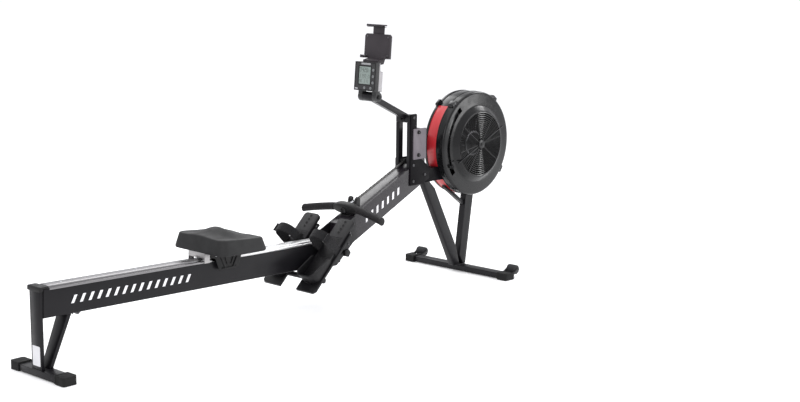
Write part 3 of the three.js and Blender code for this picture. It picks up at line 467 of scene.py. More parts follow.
def extruded(outline, lo, hi, place=at):
    """An outline of [x, z] points, carried along Y from lo to hi."""
    n = len(outline)
    verts = [place(x, y, z) for y in (lo, hi) for x, z in outline]
    sides = [(k, (k + 1) % n, n + (k + 1) % n, n + k) for k in range(n)]
    return verts, [tuple(range(n)), tuple(range(2 * n - 1, n - 1, -1))] + sides


def loft(rings, closed_ends=True):
    """Joins equal rings of points in order."""
    n = len(rings[0])
    verts = [p for ring in rings for p in ring]
    faces = []
    for i in range(len(rings) - 1):
        for k in range(n):
            m = (k + 1) % n
            faces.append((i * n + k, i * n + m, (i + 1) * n + m, (i + 1) * n + k))
    if closed_ends:
        faces += [tuple(range(n)), tuple(range(len(verts) - n, len(verts)))]
    return verts, faces


def swept(path, radius, sides=10):
    """A round bead along a path of points in metres."""
    rings = []
    for i, p in enumerate(path):
        _, a, b = basis(path[min(i + 1, len(path) - 1)] - path[max(i - 1, 0)])
        turns = [2 * pi * k / sides for k in range(sides)]
        rings.append([p + (a * cos(t) + b * sin(t)) * (radius / 1000) for t in turns])
    return loft(rings)


def arc(cx, cz, r, start, turn, steps):
    """Points on a circle; angles in degrees."""
    angles = [radians(start + turn * k / steps) for k in range(steps + 1)]
    return [(cx + r * cos(a), cz + r * sin(a)) for a in angles]


def corner_arcs(x0, x1, z0, z1, r, steps):
    corners = ((x1 - r, z0 + r, -90), (x1 - r, z1 - r, 0), (x0 + r, z1 - r, 90), (x0 + r, z0 + r, 180))
    return [arc(cx, cz, r, start, 90, steps) for cx, cz, start in corners]


def rounded(x0, x1, z0, z1, r, steps=5):
    """A rectangle's outline with rounded corners."""
    return [point for corner in corner_arcs(x0, x1, z0, z1, r, steps) for point in corner]


def side_span(sign, inner, outer):
    """Two distances from the middle, as lower and upper Y on one side."""
    return sorted((sign * inner, sign * outer))


def bolt(origin, axis, r=6.0, h=4.0):
    """A button-head screw with a socket."""
    profile = [
        (0, h * 0.35), (r * 0.42, h * 0.35), (r * 0.42, h * 0.95), (r * 0.6, h), (r * 0.85, h * 0.75),
        (r, h * 0.35), (r, -1), (0, -1),
    ]
    return spin(profile, origin, axis, 18)


def on_console(x, y, z):
    c, s = cos(CASE_LEAN), sin(CASE_LEAN)
    dx, dz = x - TILT_X, z - TILT_Z
    return at(TILT_X + dx * c + dz * s, y, TILT_Z - dx * s + dz * c)


def round_fan(angle):
    """A place on the fan at an angle in radians: r outwards, y across, w along the turn."""
    c, s = cos(angle), sin(angle)
    return lambda r, y, w: at(FAN_X + r * c - w * s, y, FAN_Z + r * s + w * c)


# ---------------- seat
SEAT = {"u0": 701.5, "u1": 940.5, "half": 145.5, "rise": 38.2, "corner": 36}
SEAT_MID = (SEAT["u0"] + SEAT["u1"]) / 2
SEAT_THICK = 54


def seat_top(s, t):
    """Height off the rail's top face: central ridge, a hollow for each side, lower towards the front."""
    ridge = 29 * exp(-(((s - 0.40) / 0.24) ** 2)) * exp(-((t / 0.40) ** 2))
    slope = -9 * max(0.0, s - 0.25) / 0.75
    hollow = -11 * exp(-(((s - 0.5) / 0.3) ** 2)) * exp(-(((abs(t) - 0.60) / 0.24) ** 2))
    front_dip = -5 * exp(-(((s - 1.0) / 0.22) ** 2)) * exp(-((t / 0.3) ** 2))
    return SEAT["rise"] + SEAT_THICK + ridge + slope + hollow + front_dip


def seat_outline(inset, scale=1.0, steps=9, edge=8):
    """Points round the seat's plan, pulled in by inset mm and then scaled towards the middle."""
    u0, u1, half = SEAT["u0"] + inset, SEAT["u1"] - inset, SEAT["half"] - inset
    r = SEAT["corner"] - inset * 0.4
    middle = (u0 + u1) / 2
    arcs = corner_arcs(u0, u1, -half, half, r, steps)
    points = []
    for i, corner in enumerate(arcs):
        (au, ay), (bu, by) = corner[-1], arcs[(i + 1) % 4][0]
        points += corner
        points += [(au + (bu - au) * k / edge, ay + (by - ay) * k / edge) for k in range(1, edge)]
    return [(middle + (u - middle) * scale, y * scale) for u, y in points]


def seat_height(u, y):
    s = (u - SEAT["u0"]) / (SEAT["u1"] - SEAT["u0"])
    return seat_top(s, y / SEAT["half"])


# Rings from the underside's middle, round the rolled edge, up the side and over the top.
rise = SEAT["rise"]
under = ((14, 0), (9, -5), (4, -5.5), (1.2, -4.5), (0.2, -2), (0, 1), (0.3, 5))
rings = [[on_rail(u, y, rise + 1.5) for u, y in seat_outline(14, 0.55)]]
rings += [[on_rail(u, y, rise + v) for u, y in seat_outline(inset)] for inset, v in under]
for k in range(1, 7):
    share = k / 6
    points = seat_outline(0.3 + 10.0 * share)
    rings.append([on_rail(u, y, rise + 5 + (seat_height(u, y) - 7 - rise - 5) * share) for u, y in points])
for angle in (20, 40, 60, 80):
    a = radians(angle)
    points = seat_outline(10.3 + 7 * (1 - cos(a)))
    rings.append([on_rail(u, y, seat_height(u, y) - 7 + 7 * sin(a)) for u, y in points])
for k in range(1, 22):
    points = seat_outline(17.3, 1 - k / 22)
    rings.append([on_rail(u, y, seat_height(u, y)) for u, y in points])
verts, faces = loft(rings, closed_ends=False)
n = len(rings[0])
last = len(verts) - n
verts += [on_rail(SEAT_MID, 0, rise + 1.5), on_rail(SEAT_MID, 0, seat_height(SEAT_MID, 0))]
faces += [((k + 1) % n, k, len(verts) - 2) for k in range(n)]
faces += [(last + k, last + (k + 1) % n, len(verts) - 1) for k in range(n)]
seat = piece("seat_cushion", (verts, faces), foam, "seat")
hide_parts("seat_pad")

# Moulded carriage covers over the side plates, with the V ribs, and their screws.
COVER = [
    (728, 34), (930, 34), (924, 24), (884, 6), (874, -34), (862, -39), (784, -39), (772, -34), (756, 6),
    (738, 14), (728, 18),
]
COVER_RIBS = (
    [(768, 30), (776, 30), (808, -32), (800, -32)], [(792, 30), (798, 30), (818, -20), (812, -20)],
    [(872, 30), (880, 30), (848, -32), (840, -32)], [(850, 30), (856, 30), (836, -20), (830, -20)],
    [(742, 33), (916, 33), (914, 28), (744, 28)], [(786, -32), (860, -32), (858, -37), (788, -37)],
)
COVER_SCREWS = ((758, 19.8), (894, 19.8), (823, 12))
for side, sign in SIDES:
    shapes = [extruded(COVER, *side_span(sign, 44.2, 47.5), on_rail)]
    shapes += [extruded(rib, *side_span(sign, 47.2, 50.5), on_rail) for rib in COVER_RIBS]
    piece(f"carriage_cover_{side}", shapes, plastic, "seat", 0.0008)
    screws = [bolt(on_rail(u, sign * 47.4, v), (0, sign, 0), 5, 3) for u, v in COVER_SCREWS]
    piece(f"carriage_screws_{side}", screws, zinc, "seat")

# ---------------- rail furniture
stop = [block((1352, -20, 7.2), (1374, 20, 19), on_rail), block((1356, -30, 7.2), (1370, 30, 12), on_rail)]
piece("rail_stop_front", stop, rubber, "rail_section", 0.003, 3)
screws = [bolt(on_rail(u, 0, 7), RAIL_NORMAL, 4, 2) for u in (100, 420, 740, 1060, 1330)]
piece("track_screws", screws, zinc, "rail_section")
screws = [bolt(at(x, y, 320.6), (0, 0, 1), 4.5, 2) for x in (-2, 16) for y in (-24, 24)]
piece("end_cap_screws", screws, dark_metal, "rail_section")

BEAD_STEP = 0.0022
BEAD_RIPPLE = 0.16


def bead(corners, radius=2.2):
    """A weld bead along straight runs, with the ripple of its passes."""
    path = []
    for a, b in zip(corners, corners[1:]):
        steps = max(3, int((b - a).length / BEAD_STEP))
        path += [a.lerp(b, k / steps) for k in range(steps)]
    path.append(corners[-1])
    verts, faces = swept(path, radius, 8)
    for i in range(len(path)):
        swell = 1 + BEAD_RIPPLE * cos(i * pi)
        for k in range(8):
            verts[i * 8 + k] = path[i] + (verts[i * 8 + k] - path[i]) * swell
    return verts, faces


def rail_bottom(x):
    return RAIL_TOP - x * tan(RAIL_SLOPE) - RAIL_DEPTH / cos(RAIL_SLOPE)


def bead_across(x, half, z):
    return bead([at(x, -half, z), at(x, half, z)])


beads = [
    bead_across(124, 31, rail_bottom(124) - 0.4), bead_across(104, 31, rail_bottom(104) - 1),
    bead_across(42, 24, 28.3), bead_across(6.2, 28, 28.6), bead_across(-6.2, 28, 28.6),
    bead([at(7.4, -29, 300), at(7.4, -29, 214)], 1.6), bead([at(7.4, 29, 300), at(7.4, 29, 214)], 1.6),
]
piece("rear_welds", beads, paint, "rail_section")
catch = [
    extruded([(150, 206.5), (176, 205.8), (172, 199), (164, 193), (158, 193), (152, 200)], -9, 9),
    spin([(0, 12), (3, 12), (3, -12), (0, -12)], at(162, 0, 197), (0, 1, 0), 14),
]
piece("rail_under_catch", catch, dark_metal, "rail_section", 0.0008)


# ---------------- prints: even stripes and a blank label
STRIPE = {"start": 120, "pitch": 36, "wide": 12, "low": -66, "high": -38, "lean": 0.5}
PRINT_THICK = 0.25


def stripes(count):
    low, high = STRIPE["low"], STRIPE["high"]
    shift = (high - low) * STRIPE["lean"]
    outlines = []
    for i in range(count):
        u0 = STRIPE["start"] + STRIPE["pitch"] * i
        u1 = u0 + STRIPE["wide"]
        outlines.append([(u0, low), (u1, low), (u1 + shift, high), (u0 + shift, high)])
    return outlines


def decal(name, outlines, place, face, sign, body):
    """Flat prints just proud of a side face at y = face."""
    span = side_span(sign, face + 0.05, face + 0.05 + PRINT_THICK)
    piece(name, [extruded(o, *span, place) for o in outlines], print_white, body)


for side, sign in SIDES:
    decal(f"rail_stripes_{side}", stripes(15), on_rail, RAIL_SIDE, sign, "rail_section")
    decal(f"tube_stripes_{side}", stripes(7), on_tube, TUBE_SIDE, sign, "front_frame")

label = extruded(rounded(-22, 22, 42, 112, 3), -6.3, -6.05, lambda y, x, z: at(x, y, z))
piece("post_label", label, label_white, "rail_section")

# ---------------- fan cage covers
FAN_AXIS = (at(FAN_X, 0, FAN_Z), (0, 1, 0))
WINDOW = (124, 216)  # the damper window, in degrees round the near cover
GRILLE_RADII = [29 + 8.7 * i for i in range(14)]
SPOKES = range(10, 370, 45)
near = [
    (234, -22), (234, -51), (233.3, -54.5), (231, -57.6), (227, -60.2), (224, -60.8), (212, -61.9),
    (190, -64.1), (176, -65.5), (172.5, -66.3), (170, -68), (151, -84.3), (148.5, -85.7), (146, -86.2),
    (143.6, -85.8), (143, -84.5), (143, -82), (145, -82), (165, -67), (169, -63), (190, -61.1),
    (212, -58.9), (226, -57.4), (231, -52), (231, -22),
]


def shell(profile, window, segments=144, first=6, second=19):
    """The turned cover; the window's span is left out of its outer and inner skins, and walled."""
    verts, faces = [], []
    count = len(profile)
    for k in range(segments):
        a = 2 * pi * k / segments
        verts += [at(FAN_X + r * cos(a), y, FAN_Z + r * sin(a)) for r, y in profile]

    def inside(k):
        return window and window[0] <= (k % segments) * 360 / segments < window[1]

    for k in range(segments):
        n = (k + 1) % segments
        for i in range(count):
            j = (i + 1) % count
            if inside(k) and i in (first, second + 1):
                continue
            faces.append((k * count + i, k * count + j, n * count + j, n * count + i))
        if inside(k):
            outer_a, outer_b = first, first + 1
            inner_b, inner_a = second + 1, second + 2
            faces.append((k * count + outer_a, n * count + outer_a, n * count + inner_a, k * count + inner_a))
            faces.append((k * count + outer_b, n * count + outer_b, n * count + inner_b, k * count + inner_b))
            if not inside(k - 1):
                faces.append(tuple(k * count + i for i in (outer_a, outer_b, inner_b, inner_a)))
            if not inside(k + 1):
                faces.append(tuple(n * count + i for i in (outer_a, outer_b, inner_b, inner_a)))
    return verts, faces


def grille_ring(r, lo, hi, width=3.6):
    middle = (lo + hi) / 2
    section = [(r - width / 2, middle), (r, lo), (r + width / 2, middle), (r, hi)]
    return spin(section, *FAN_AXIS, 96, closed=True)


def grille_spoke(angle, r0, r1, lo, hi, width):
    return block((r0, lo, -width / 2), (r1, hi, width / 2), round_fan(radians(angle)))


hub = [(0, -97), (6, -97), (7, -96), (7, -94.5), (15, -94), (20, -92.5), (21.5, -90), (21.5, -78), (0, -78)]
parts = [shell(near, WINDOW), spin(hub, *FAN_AXIS, 48)]
right_cover = piece("cage_cover_right", parts, cover_plastic, "front_frame")
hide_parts("cage_shell_right")
parts = [grille_ring(r, -89.5, -86.2) for r in GRILLE_RADII]
parts += [grille_spoke(a, 19, 145, -88.8, -85.5, 2.6) for a in SPOKES]
piece("cage_grille_right", parts, grille_plastic, "front_frame")
parts = [grille_spoke(a, 18, 171, -91.5, -84.0, 4.4) for a in (24, 204)]
piece("cage_ribs_right", parts, cover_plastic, "front_frame", 0.001)

far = [
    (234, 35), (234, 44), (233, 47.5), (231, 50), (226, 52), (200, 54), (172, 57), (150, 59.5), (146, 60),
    (143, 59), (143, 55), (146, 56), (200, 50.5), (225, 48.5), (231, 44), (231, 35),
]
hub = [(0, 66), (7, 66), (8, 64.5), (20, 63.5), (21, 61), (21, 52), (0, 52)]
parts = [shell(far, None), spin(hub, *FAN_AXIS, 48)]
parts += [grille_ring(r, 56, 59) for r in GRILLE_RADII]
parts += [grille_spoke(a, 19, 145, 55.5, 58.5, 3) for a in SPOKES]
left_cover = piece("cage_cover_left", parts, cover_plastic, "front_frame")
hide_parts("cage_shell_left")


def lug(angle, y0, y1, wide=34, tall=12):
    """A screw lug on the cage's rim."""
    top, half = FAN_R + tall, wide / 2
    outline = [
        (228, -half - 4), (top - 2, -half + 1), (top, -half + 4),
        (top, half - 4), (top - 2, half - 1), (228, half + 4),
    ]
    return extruded(outline, y0, y1, round_fan(radians(angle)))


LUG_ANGLES = (55, 128, 325)
parts = [lug(a, -54, -24) for a in LUG_ANGLES] + [lug(a, 36, 48) for a in LUG_ANGLES]
parts += [lug(212, -50, 48, 26, 6), lug(236, -50, -24, 18, 5)]
piece("cage_lugs", parts, cover_plastic, "front_frame", 0.0012)
parts = [bolt(round_fan(radians(a))(238, -54, 0), (0, -1, 0), 4.2, 3.5) for a in LUG_ANGLES]
piece("cage_screws", parts, dark_metal, "front_frame")
band_lips = []
for y in (-22, 35):
    lip = [(232.5, y - 1.6), (235.2, y - 1.6), (235.2, y + 1.6), (232.5, y + 1.6)]
    band_lips.append(spin(lip, *FAN_AXIS, 144, closed=True))
piece("cage_seams", band_lips, plastic, "front_frame")

# Finned wheel seen through the grille.
FIN_COUNT = 36
FIN_CORNERS = ((-0.9, -43.5), (0.9, -43.5), (0.9, 5), (-0.9, 5))
fins = []
for k in range(FIN_COUNT):
    rows = []
    for r, twist in ((58, 0.0), (100, 0.05), (150, 0.13), (203, 0.24)):
        place = round_fan(2 * pi * k / FIN_COUNT + twist)
        rows.append([place(r, y, w) for w, y in FIN_CORNERS])
    fins.append(loft(rows))
rotor_rim = spin([(203, -43), (208, -43), (208, 6), (203, 6)], *FAN_AXIS, 96, closed=True)
fan_hub = [(0, -46), (22, -46), (26, -44.5), (48, -44.2), (55, -41), (58, -36), (58, 4), (0, 4)]
piece("fan_fins", [*fins, rotor_rim, spin(fan_hub, *FAN_AXIS, 64)], fan_metal, "fan")
damper_grip = [grille_spoke(205 + 1.0 * (k - 2), 194.5, 207.5, -79.6, -77.6, 1.6) for k in range(5)]
piece("damper_grip", damper_grip, plastic, "damper", 0.0003)

# ---------------- frame bolts and welds
parts = [bolt(at(1908, -50, z), (0, -1, 0), 8.5, 7) for z in (573, 672)]
piece("bracket_bolts", parts, plastic, "front_frame")
PLATE_Y = 44.2
PLATE_BOLTS = ((1882, 460), (1958, 482), (1882, 530))
SADDLE_BOLTS = ((1408, 258), (1478, 248), (1502, 322))
parts = [bolt(at(x, s * PLATE_Y, z), (0, s, 0), 6, 4) for s in (-1, 1) for x, z in PLATE_BOLTS]
parts += [bolt(at(1882, -PLATE_Y, z), (0, -1, 0), 6, 4) for z in (735, 640)]
parts.append(bolt(at(1874, 39.0, 738), (0, 1, 0), 7, 4.5))
parts += [bolt(at(x, s * PLATE_Y, z), (0, s, 0), 6.5, 4.5) for s in (-1, 1) for x, z in SADDLE_BOLTS]
piece("frame_bolts", parts, dark_metal, "front_frame")

LEG_FOOT_X, LEG_FOOT_Z, LEG_RAKE = 2232, 34, 0.54


def leg_x(z):
    return LEG_FOOT_X - (z - LEG_FOOT_Z) * LEG_RAKE


beads = [bead([at(1968.6, y, 447), at(1968.6, y, 498)]) for y in (-23, 32)]
for s in (-1, 1):
    for x in (LEG_FOOT_X - 26, LEG_FOOT_X + 2, LEG_FOOT_X + 24):
        beads.append(bead([at(x, s * 16, 28.4), at(x + 24, s * 16, 28.4)]))
beads += [bead([at(leg_x(440) - 26, s * 16.2, 441), at(leg_x(440) + 26, s * 16.2, 441)]) for s in (-1, 1)]
beads += [bead([on_tube(452, s * 39.2, 0.4), on_tube(494, s * 39.2, 0.4)]) for s in (-1, 1)]
piece("front_welds", beads, paint, "front_frame")

# A raised collar where each rubber cap meets its foot bar, and caps on the transport rollers' ends.
for name, x0, x1, inner, body in (
    ("rear", -10, 46, 104.4, "rail_section"), ("front", 2224, 2288, 246.4, "front_frame"),
):
    collar = rounded(x0 - 1.2, x1 + 1.2, 1.0, 33.2, 5)
    shapes = [extruded(collar, *side_span(s, inner, inner + 9)) for s in (-1, 1)]
    piece(f"{name}_cap_collars", shapes, rubber, body, 0.0015)
hub = [(0, 1.6), (6, 1.6), (7, 0), (7, -1), (0, -1)]
for side, sign in reversed(SIDES):
    ends = [spin(hub, at(2312, sign * y, 37), (0, sign * out, 0), 18) for y, out in ((246.4, -1), (291.6, 1))]
    piece(f"roller_hubs_{side}", ends, dark_metal, f"{side}_roller")

# ---------------- handle and chain
CHAIN_ANGLE = atan2(GUIDE_Z - HANDLE_Z, GUIDE_X - HANDLE_X)
CHAIN_LENGTH = hypot(GUIDE_Z - HANDLE_Z, GUIDE_X - HANDLE_X)


def on_chain(u, y, v):
    c, s = cos(CHAIN_ANGLE), sin(CHAIN_ANGLE)
    return at(HANDLE_X + u * c - v * s, y, HANDLE_Z + u * s + v * c)


def bent(y, du, dv):
    """A point of the handle's section at y, following its sweep back and down."""
    t = max(0.0, (abs(y) - 50) / 176)
    c, s = cos(CHAIN_ANGLE), sin(CHAIN_ANGLE)
    return at(HANDLE_X - 24 * t**1.3 + du * c - dv * s, y, HANDLE_Z - 26 * t**1.3 + du * s + dv * c)


def section(y, wide, tall, power, steps=24):
    points = []
    for k in range(steps):
        a = 2 * pi * k / steps
        c, s = cos(a), sin(a)
        points.append(bent(y, copysign(abs(c) ** power, c) * wide, copysign(abs(s) ** power, s) * tall))
    return points


core = [
    (-64, 12.5, 12.5, 0.9), (-60, 15, 14.5, 0.8), (-52, 16.5, 18, 0.62), (-34, 17.5, 22.5, 0.5),
    (-14, 18.5, 24.5, 0.5), (14, 18.5, 24.5, 0.5), (34, 17.5, 22.5, 0.5), (52, 16.5, 18, 0.62),
    (60, 15, 14.5, 0.8), (64, 12.5, 12.5, 0.9),
]
core = loft([section(*row) for row in core])
core_piece = piece("handle_core", core, plastic, "handle", 0.0012)
grips = []
for sign in (-1, 1):
    rows = [(62, 13.2), (64, 16.2)]
    y = 66.0
    while y < 214:
        rows += [(y, 16.4), (y + 5.0, 16.4), (y + 5.8, 15.6), (y + 7.2, 15.6)]
        y += 8.0
    rows += [(216, 16.4), (220, 17.2), (223.5, 16.8), (225.6, 14.5), (226, 11)]
    grips.append(loft([section(sign * row, r, r, 1.0, 20) for row, r in rows]))
piece("handle_grips", grips, grip_rubber, "handle")
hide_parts("handle_bar")
rear_axis = on_chain(-1, 0, 0) - on_chain(0, 0, 0)
recess = spin([(0, 1.2), (8, 1.2), (9.5, 1.8), (10.5, 3), (13, 3.4), (14, 2.6), (14, -4), (0, -4)],
              on_chain(-17.8, 0, 0), rear_axis, 28)
piece("handle_hub_recess", recess, plastic, "handle")

swivel = [(0, 0), (7.5, 0), (8, 1), (8, 9), (6, 11), (6, 15), (0, 15)]
yoke = [
    block((20.3, -11, -9), (27, 11, 9), on_chain),
    spin(swivel, on_chain(27, 0, 0), on_chain(1, 0, 0) - on_chain(0, 0, 0), 20),
    block((41, -6.5, -6), (46, 6.5, 6), on_chain),
    block((44, 4.0, -5), (58, 6.5, 5), on_chain), block((44, -6.5, -5), (58, -4.0, 5), on_chain),
]
piece("chain_swivel", yoke, zinc, "handle", 0.0008)

PITCH_MM, LINK_R, LINK_WAIST = 12.7, 4.1, 2.7
CHAIN_FROM, CHAIN_PAST_GUIDE = 54, 84
links, pins = [], []
pin = [(0, -4.8), (1.8, -4.8), (1.8, -2.3), (3.6, -2.2), (3.6, 2.2), (1.8, 2.3), (1.8, 4.8), (0, 4.8)]
for i in range(int((CHAIN_LENGTH + CHAIN_PAST_GUIDE - CHAIN_FROM) / PITCH_MM)):
    u0 = CHAIN_FROM + i * PITCH_MM
    outline = arc(u0 + PITCH_MM, 0, LINK_R, -105, 210, 6) + [(u0 + PITCH_MM / 2, LINK_WAIST)]
    outline += arc(u0, 0, LINK_R, 75, 210, 6) + [(u0 + PITCH_MM / 2, -LINK_WAIST)]
    inner = 2.2 if i % 2 else 3.3
    links += [extruded(outline, s * inner, s * (inner + 0.9), on_chain) for s in (-1, 1)]
    pins.append(spin(pin, on_chain(u0, 0, 0), (0, 1, 0), 10))
chain = piece("chain_links", [*links, *pins], chain_steel, "handle")
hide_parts("pull_chain")

# ---------------- foot rests
STRAP_U = (184, 224)
FOOT_MID = 98


def ribbon(path, thick, place, u0, u1, uv_start=0.0):
    """A flat band: a path of (y, v) with its outward side to the right, u0 to u1 wide; UVs in metres."""
    rings, uv, run = [], [], uv_start
    for i, (y, v) in enumerate(path):
        ay, av = path[max(0, i - 1)]
        by, bv = path[min(len(path) - 1, i + 1)]
        length = hypot(by - ay, bv - av)
        ny, nv = (bv - av) / length, -(by - ay) / length
        if i:
            run += hypot(y - path[i - 1][0], v - path[i - 1][1]) / 1000
        oy, ov = y + ny * thick, v + nv * thick
        edge = min(0.6, thick / 3)
        ring_points = [
            (u0, y + ny * edge, v + nv * edge), (u0 + edge, y, v), ((u0 + u1) / 2, y, v), (u1 - edge, y, v),
            (u1, y + ny * edge, v + nv * edge), (u1, oy - ny * edge, ov - nv * edge), (u1 - edge, oy, ov),
            ((u0 + u1) / 2, oy, ov), (u0 + edge, oy, ov), (u0, oy - ny * edge, ov - nv * edge),
        ]
        rings.append([place(*p) for p in ring_points])
        uv += [(p[0] / 1000, run) for p in ring_points]
    verts, faces = loft(rings)
    return verts, faces, uv


def mirrored(place, sign):
    return lambda u, y, v: place(u, sign * y, v)


# The strap leaves one slot, stands over the foot and comes down to the buckle at the other.
STRAP_HALF, STRAP_SPRING, STRAP_TOP = 45.6, 70, 117.0
arch = [
    (FOOT_MID + (STRAP_HALF + 0.6) * cos(a), STRAP_SPRING + (STRAP_TOP - STRAP_SPRING) * sin(a))
    for a in (radians(d) for d in range(8, 178, 8))
]
arch = [(143.6, -9), (143.6, 4), (144, 20), (144.6, 40)] + arch
arch += [(52, 40), (52.2, 20), (52.4, 4), (52.4, -9)]
arch.reverse()
lap_path = [
    (FOOT_MID + (STRAP_HALF + 3.2) * cos(a), 70.8 + (STRAP_TOP - 68.2) * sin(a))
    for a in (radians(d) for d in range(156, 28, -8))
]
lap_path = [(51.0, 50), (50.4, 60)] + lap_path + [(146.5, 104), (151.5, 97)]
lo, hi = STRAP_U
BUCKLE = (
    ((lo - 5, 48.4, 34), (hi + 5, 51.4, 38.5)), ((lo - 5, 48.4, 50.5), (hi + 5, 51.4, 55)),
    ((lo - 5, 48.4, 34), (lo - 0.5, 54.6, 55)), ((hi + 0.5, 48.4, 34), (hi + 5, 54.6, 55)),
)
# Anti-slip ribs: where along the sole, from and to across it, how wide, and up to what height.
SOLE_RIBS = (
    (range(156, 172, 8), 66, 130, 3.2, 15.0), (range(236, 268, 8), 62, 134, 3.2, 15.0),
    (range(72, 150, 12), 70, 126, 2.4, 14.6),
)
HOLE_RIM = [(4.4, -0.4), (6.4, -0.4), (6.2, 0.5), (5.6, 0.9), (4.9, 0.7), (4.4, -0.2)]
HOLE = [(0, 0.08), (4.6, 0.08), (4.6, -0.4), (0, -0.4)]
# The heel cup's rim, seen from above: along one side, round the heel and back along the other.
CUP = {"u": 39.5, "low": 52.5, "high": 143.5, "r": 25}
cup_rim = [(148 - k * 12, CUP["low"]) for k in range(7)]
cup_rim += arc(CUP["u"] + CUP["r"], CUP["low"] + CUP["r"], CUP["r"], -90, -90, 6)
cup_rim += [(CUP["u"], CUP["low"] + CUP["r"] + k * 10) for k in range(1, 4)]
cup_rim += arc(CUP["u"] + CUP["r"], CUP["high"] - CUP["r"], CUP["r"], 180, -90, 6)
cup_rim += [(76 + k * 12, CUP["high"]) for k in range(7)]


def lip_height(u):
    return 54 - 4 * u / 60 if u < 60 else 50 - 22 * (u - 60) / 90


for side, sign in reversed(SIDES):
    body, root = f"{side}_heel_cup", "front_frame"
    place = mirrored(on_foot, sign)
    outer = ribbon(arch, 2.0, place, lo, hi)
    lap = ribbon(lap_path, 1.8, place, lo + 2, hi - 2, 0.4)
    shape = joined(outer[:2], lap[:2])
    strap = piece(f"toe_strap_web_{side}", shape, webbing, root, uv=outer[2] + lap[2])
    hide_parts(f"toe_strap_{side}")
    buckle = [block(*corners, place) for corners in BUCKLE]
    piece(f"toe_buckle_{side}", buckle, plastic, root, 0.0012)
    stitches = [
        block((u, FOOT_MID + dy, 120.8), (u + 3.2, FOOT_MID + 0.8 + dy, 121.5), place)
        for u in [lo + 6 + 5.5 * k for k in range(5)] for dy in (-9, 9)
    ]
    piece(f"toe_stitches_{side}", stitches, plastic, root)
    ribs = [
        block((u, y0, 13.6), (u + wide, y1, top), place)
        for along, y0, y1, wide, top in SOLE_RIBS for u in along
    ]
    piece(f"sole_ribs_{side}", ribs, foot_plastic, body, 0.0004)
    # A row of fit holes at the toe end; in each sits a shallow black disc, painted shade for the hole's
    # depth.
    normal = place(0, 0, 1) - place(0, 0, 0)
    centres = [place(u, FOOT_MID, 14) for u in range(284, 340, 18)]
    rims = [spin(HOLE_RIM, centre, normal, 20, closed=True) for centre in centres]
    wells = [spin(HOLE, centre, normal, 20) for centre in centres]
    piece(f"sole_hole_rims_{side}", rims, foot_plastic, body)
    piece(f"sole_holes_{side}", wells, hole_shade_black, body)
    lip = swept([place(u, y, lip_height(u) - 0.6) for u, y in cup_rim], 3.2, 10)
    piece(f"cup_lip_{side}", lip, foot_plastic, body)
    screws = [bolt(place(300, y, 0), normal, 5, 2.2) for y in (52, 140)]
    piece(f"plate_screws_{side}", screws, dark_metal, root)

# ---------------- console
def rounded_ring(y0, y1, z0, z1, r, inset, x0, x1):
    """A frame with rounded corners on the console's face."""
    outer = rounded(y0, y1, z0, z1, r)
    inner = rounded(y0 + inset, y1 - inset, z0 + inset, z1 - inset, max(1.0, r - inset))
    loops = ((x1, outer), (x0, outer), (x0, inner), (x1, inner), (x1, outer))
    return loft([[on_console(x, y, z) for y, z in loop] for x, loop in loops], closed_ends=False)


def panel(y0, y1, z0, z1, r, x0, x1):
    points = rounded(y0, y1, z0, z1, r, 4)
    return loft([[on_console(x1, y, z) for y, z in points], [on_console(x0, y, z) for y, z in points]])


face = [
    rounded_ring(-57.5, 57.5, 867, 983, 9, 2.6, CASE_X - 1.4, CASE_X + 0.4),
    rounded_ring(-33.6, 38.6, 888.4, 968.6, 4, 3.4, CASE_X - 1.0, CASE_X + 0.4),
]
piece("console_face_trim", face, plastic, "console", 0.0004)
blank = panel(-28, 24, 972.5, 980.5, 1.2, CASE_X - 0.35, CASE_X + 0.3)
piece("console_title_blank", blank, label_grey, "console")
strip = panel(38, 55, 871, 874.5, 1.0, CASE_X - 0.6, CASE_X + 0.3)
piece("console_light_strip", strip, label_white, "console")
KEYS = {"units": (-45, 952), "display": (-45, 926), "menu": (-45, 900), "back": (-35, 877), "power": (0, 877)}
for key, (y, z) in KEYS.items():
    mark = panel(y - 3, y + 3, z - 0.7, z + 0.7, 0.5, CASE_X - 2.25, CASE_X - 1.9)
    piece(f"key_{key}_button_mark", mark, segment, f"key_{key}_button")

SEGMENTS = {
    "0": "abcdef", "1": "bc", "2": "abged", "3": "abgcd", "4": "fgbc", "5": "afgcd", "6": "afgedc",
    "7": "abc", "8": "abcdefg", "9": "abcdfg",
}
FIGURE_X = (CASE_X + 0.28, CASE_X + 0.5)
SEGMENT_GAP = 0.25


def on_lens(y0, y1, z0, z1):
    return block((FIGURE_X[0], y0, z0), (FIGURE_X[1], y1, z1), on_console)


def digit(value, y, z, tall, wide, bar):
    """A seven-segment figure, its left edge at y, reading towards -Y."""
    h, gap = tall / 2, SEGMENT_GAP
    spans = {
        "a": (0, wide, tall - bar, tall), "g": (0, wide, h - bar / 2, h + bar / 2), "d": (0, wide, 0, bar),
        "f": (0, bar, h, tall), "b": (wide - bar, wide, h, tall), "e": (0, bar, 0, h),
        "c": (wide - bar, wide, 0, h),
    }
    lit = [spans[letter] for letter in SEGMENTS[value]]
    return [on_lens(y - b + gap, y - a - gap, z + c + gap, z + d - gap) for a, b, c, d in lit]


figures = []
for text, y, z, tall, wide, bar in (
    ("0428", 32, 943, 17, 9.5, 2.0), ("215", -14, 945, 10, 5.0, 1.2), ("1750", 32, 920, 14, 7.5, 1.7),
    ("26", -14, 920, 12, 6.0, 1.4), ("96", 32, 899, 12, 6.5, 1.4), ("312", 6, 899, 12, 6.5, 1.4),
):
    for i, value in enumerate(text):
        figures += digit(value, y - i * (wide + 2.4), z, tall, wide, bar)
figures += [on_lens(-28, 33, z, z + 0.6) for z in (939.5, 916.5)]
figures += [on_lens(9.4, 11, z, z + 2) for z in (949, 954)]
piece("console_figures", figures, segment, "console")

